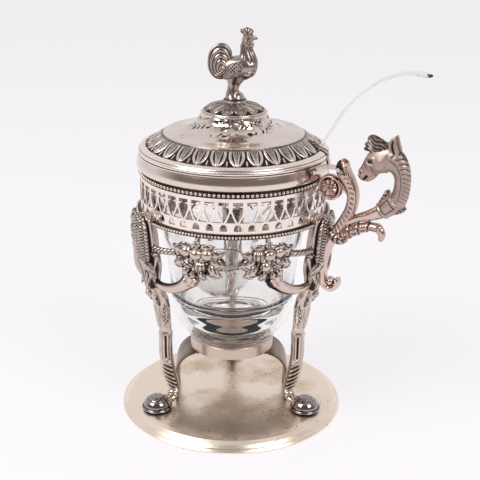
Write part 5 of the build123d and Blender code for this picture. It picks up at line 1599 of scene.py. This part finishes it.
def camera_axes(yaw, pitch, roll):
    """Right, up and backward directions of a camera that looks along +Y before it is turned by yaw."""
    yaw, pitch, roll = np.radians([yaw, pitch, roll])
    ahead = np.array([-np.sin(yaw) * np.cos(pitch), np.cos(yaw) * np.cos(pitch), -np.sin(pitch)])
    right = np.array([np.cos(yaw), np.sin(yaw), 0])
    up = np.cross(right, ahead)
    return right * np.cos(roll) + up * np.sin(roll), up * np.cos(roll) - right * np.sin(roll), -ahead


lens = bpy.data.cameras.new("camera")
lens.sensor_width = SENSOR
lens.lens = FOCAL_PIXELS * SENSOR / FRAME_PIXELS
lens.clip_start = 0.01
camera = placed("camera", lens)
across, upward, back = camera_axes(CAMERA_YAW, CAMERA_PITCH, CAMERA_ROLL)
stand = Matrix(np.column_stack([across, upward, back]).tolist()).to_4x4()
stand.translation = [c * MM for c in CAMERA_AT]
camera.matrix_world = stand
bpy.context.scene.camera = camera
print("camera", [round(c, 1) for c in CAMERA_AT], "lens", round(lens.lens, 1))

# %% [markdown]
# Plate shows what stands round it, so the room matters more than the lamps. It is pale behind the pot and
# overhead and dim on the camera's side, where two soft lamps give the bright patches on round places. The
# backdrop is meant to be an even near-white. A camera ray, or one that left metal or glass, therefore
# sees the floor almost three quarters as flat backdrop, and the rest as lit, which keeps the pot's shadow.

# %% Floor, room and lamps
PALE = (0.985, 0.96, 0.985)
DIM = (0.22, 0.185, 0.165)
LOOK_AT_Z = 0.07
FLAT_SHARE = 0.72
FLOOR_HALF = 6.0
FLOOR_SHADE = 0.985
BEHIND_TONE = (0.82, 0.8, 0.81)
OVERHEAD_TONE = (0.62, 0.6, 0.6)
EVEN_TONE = (0.86, 0.85, 0.87)
EVEN_STRENGTH = 0.62
BACKDROP_STRENGTH = 0.9


def straight_rays(tree):
    """Outputs of the light path, and a share that is 1 for rays of the camera and those through glass."""
    path = add(tree, "LightPath").outputs
    return path, calc(tree, "MAXIMUM", path["Is Camera Ray"], path["Is Transmission Ray"])


def floor():
    """Wide pale floor just under the base."""
    corners = [(x * FLOOR_HALF, y * FLOOR_HALF, 0) for x, y in ((-1, -1), (1, -1), (1, 1), (-1, 1))]
    mesh = bpy.data.meshes.new("floor")
    mesh.from_pydata(corners, [], [(0, 1, 2, 3)])
    sheet = placed("floor", mesh)
    material, tree, shader = principled("pale floor")
    tone = ramp(tree, noise(tree, 3.0, 2.0), (0.3, PALE), (0.7, tuple(FLOOR_SHADE * c for c in PALE)))
    join(tree, shader, Base_Color=tone)
    shader.inputs["Roughness"].default_value = 0.9
    shader.inputs["Specular IOR Level"].default_value = 0.1
    flat = add(tree, "Emission", {"Color": (*PALE, 1), "Strength": 1.0})
    path, straight = straight_rays(tree)
    seen = calc(tree, "MAXIMUM", straight, path["Is Glossy Ray"])
    share = calc(tree, "MULTIPLY", seen, FLAT_SHARE)
    final = add(tree, "MixShader", {0: share, 1: shader.outputs[0], 2: flat.outputs[0]})
    join(tree, tree.nodes["Material Output"], Surface=final.outputs[0])
    mesh.materials.append(material)


def room():
    """World light: even for the floor and glass; for the plate pale behind and overhead, dim in front."""
    world = bpy.data.worlds.new("room")
    bpy.context.scene.world = world
    world.use_nodes = True
    tree = world.node_tree
    tree.nodes.clear()
    way = add(tree, "TexCoord").outputs["Generated"]
    behind = (-np.sin(np.radians(CAMERA_YAW)), np.cos(np.radians(CAMERA_YAW)), 0.0)
    depth = add(tree, "VectorMath", {0: way, 1: behind}, operation="DOT_PRODUCT").outputs["Value"]
    height = add(tree, "SeparateXYZ", {0: way}).outputs["Z"]
    share = add(tree, "MapRange", {"Value": depth, "From Min": -1.0}).outputs["Result"]
    back = ramp(tree, share, (0.3, DIM), (0.62, BEHIND_TONE))
    over = ramp(tree, height, (0.62, (0.0, 0.0, 0.0)), (0.95, OVERHEAD_TONE))
    shade = blend_colours(tree, 1.0, back, over, blend_type="LIGHTEN")
    path, straight = straight_rays(tree)
    glossy = add(tree, "Background", {"Color": shade, "Strength": 1.0}).outputs[0]
    even = add(tree, "Background", {"Color": (*EVEN_TONE, 1), "Strength": EVEN_STRENGTH}).outputs[0]
    backdrop = add(tree, "Background", {"Color": (*PALE, 1), "Strength": BACKDROP_STRENGTH}).outputs[0]
    lit = add(tree, "MixShader", {0: path["Is Glossy Ray"], 1: even, 2: glossy}).outputs[0]
    final = add(tree, "MixShader", {0: straight, 1: lit, 2: backdrop}).outputs[0]
    join(tree, tree.nodes.new("ShaderNodeOutputWorld"), Surface=final)


def lamp(name, azimuth, elevation, distance, size, power):
    """Soft square lamp that looks at the middle of the pot, from an azimuth measured like the pot's."""
    az, el = np.radians([azimuth, elevation])
    away = np.array([np.cos(az) * np.cos(el), np.sin(az) * np.cos(el), np.sin(el)])
    light = bpy.data.lights.new(name, "AREA")
    light.size, light.energy = size, power
    side = np.cross([0, 0, 1.0], away)
    side /= np.linalg.norm(side)
    turn = Matrix(np.column_stack([side, np.cross(away, side), away]).tolist()).to_4x4()
    turn.translation = (away * distance + [0, 0, LOOK_AT_Z]).tolist()
    placed(name, light).matrix_world = turn


floor()
room()
lamp("left lamp", azimuth=-115.0, elevation=42.0, distance=0.9, size=0.5, power=4.2)
lamp("right lamp", azimuth=-15.0, elevation=38.0, distance=0.9, size=0.4, power=2.6)
scene = bpy.context.scene
scene.view_settings.view_transform = "Standard"
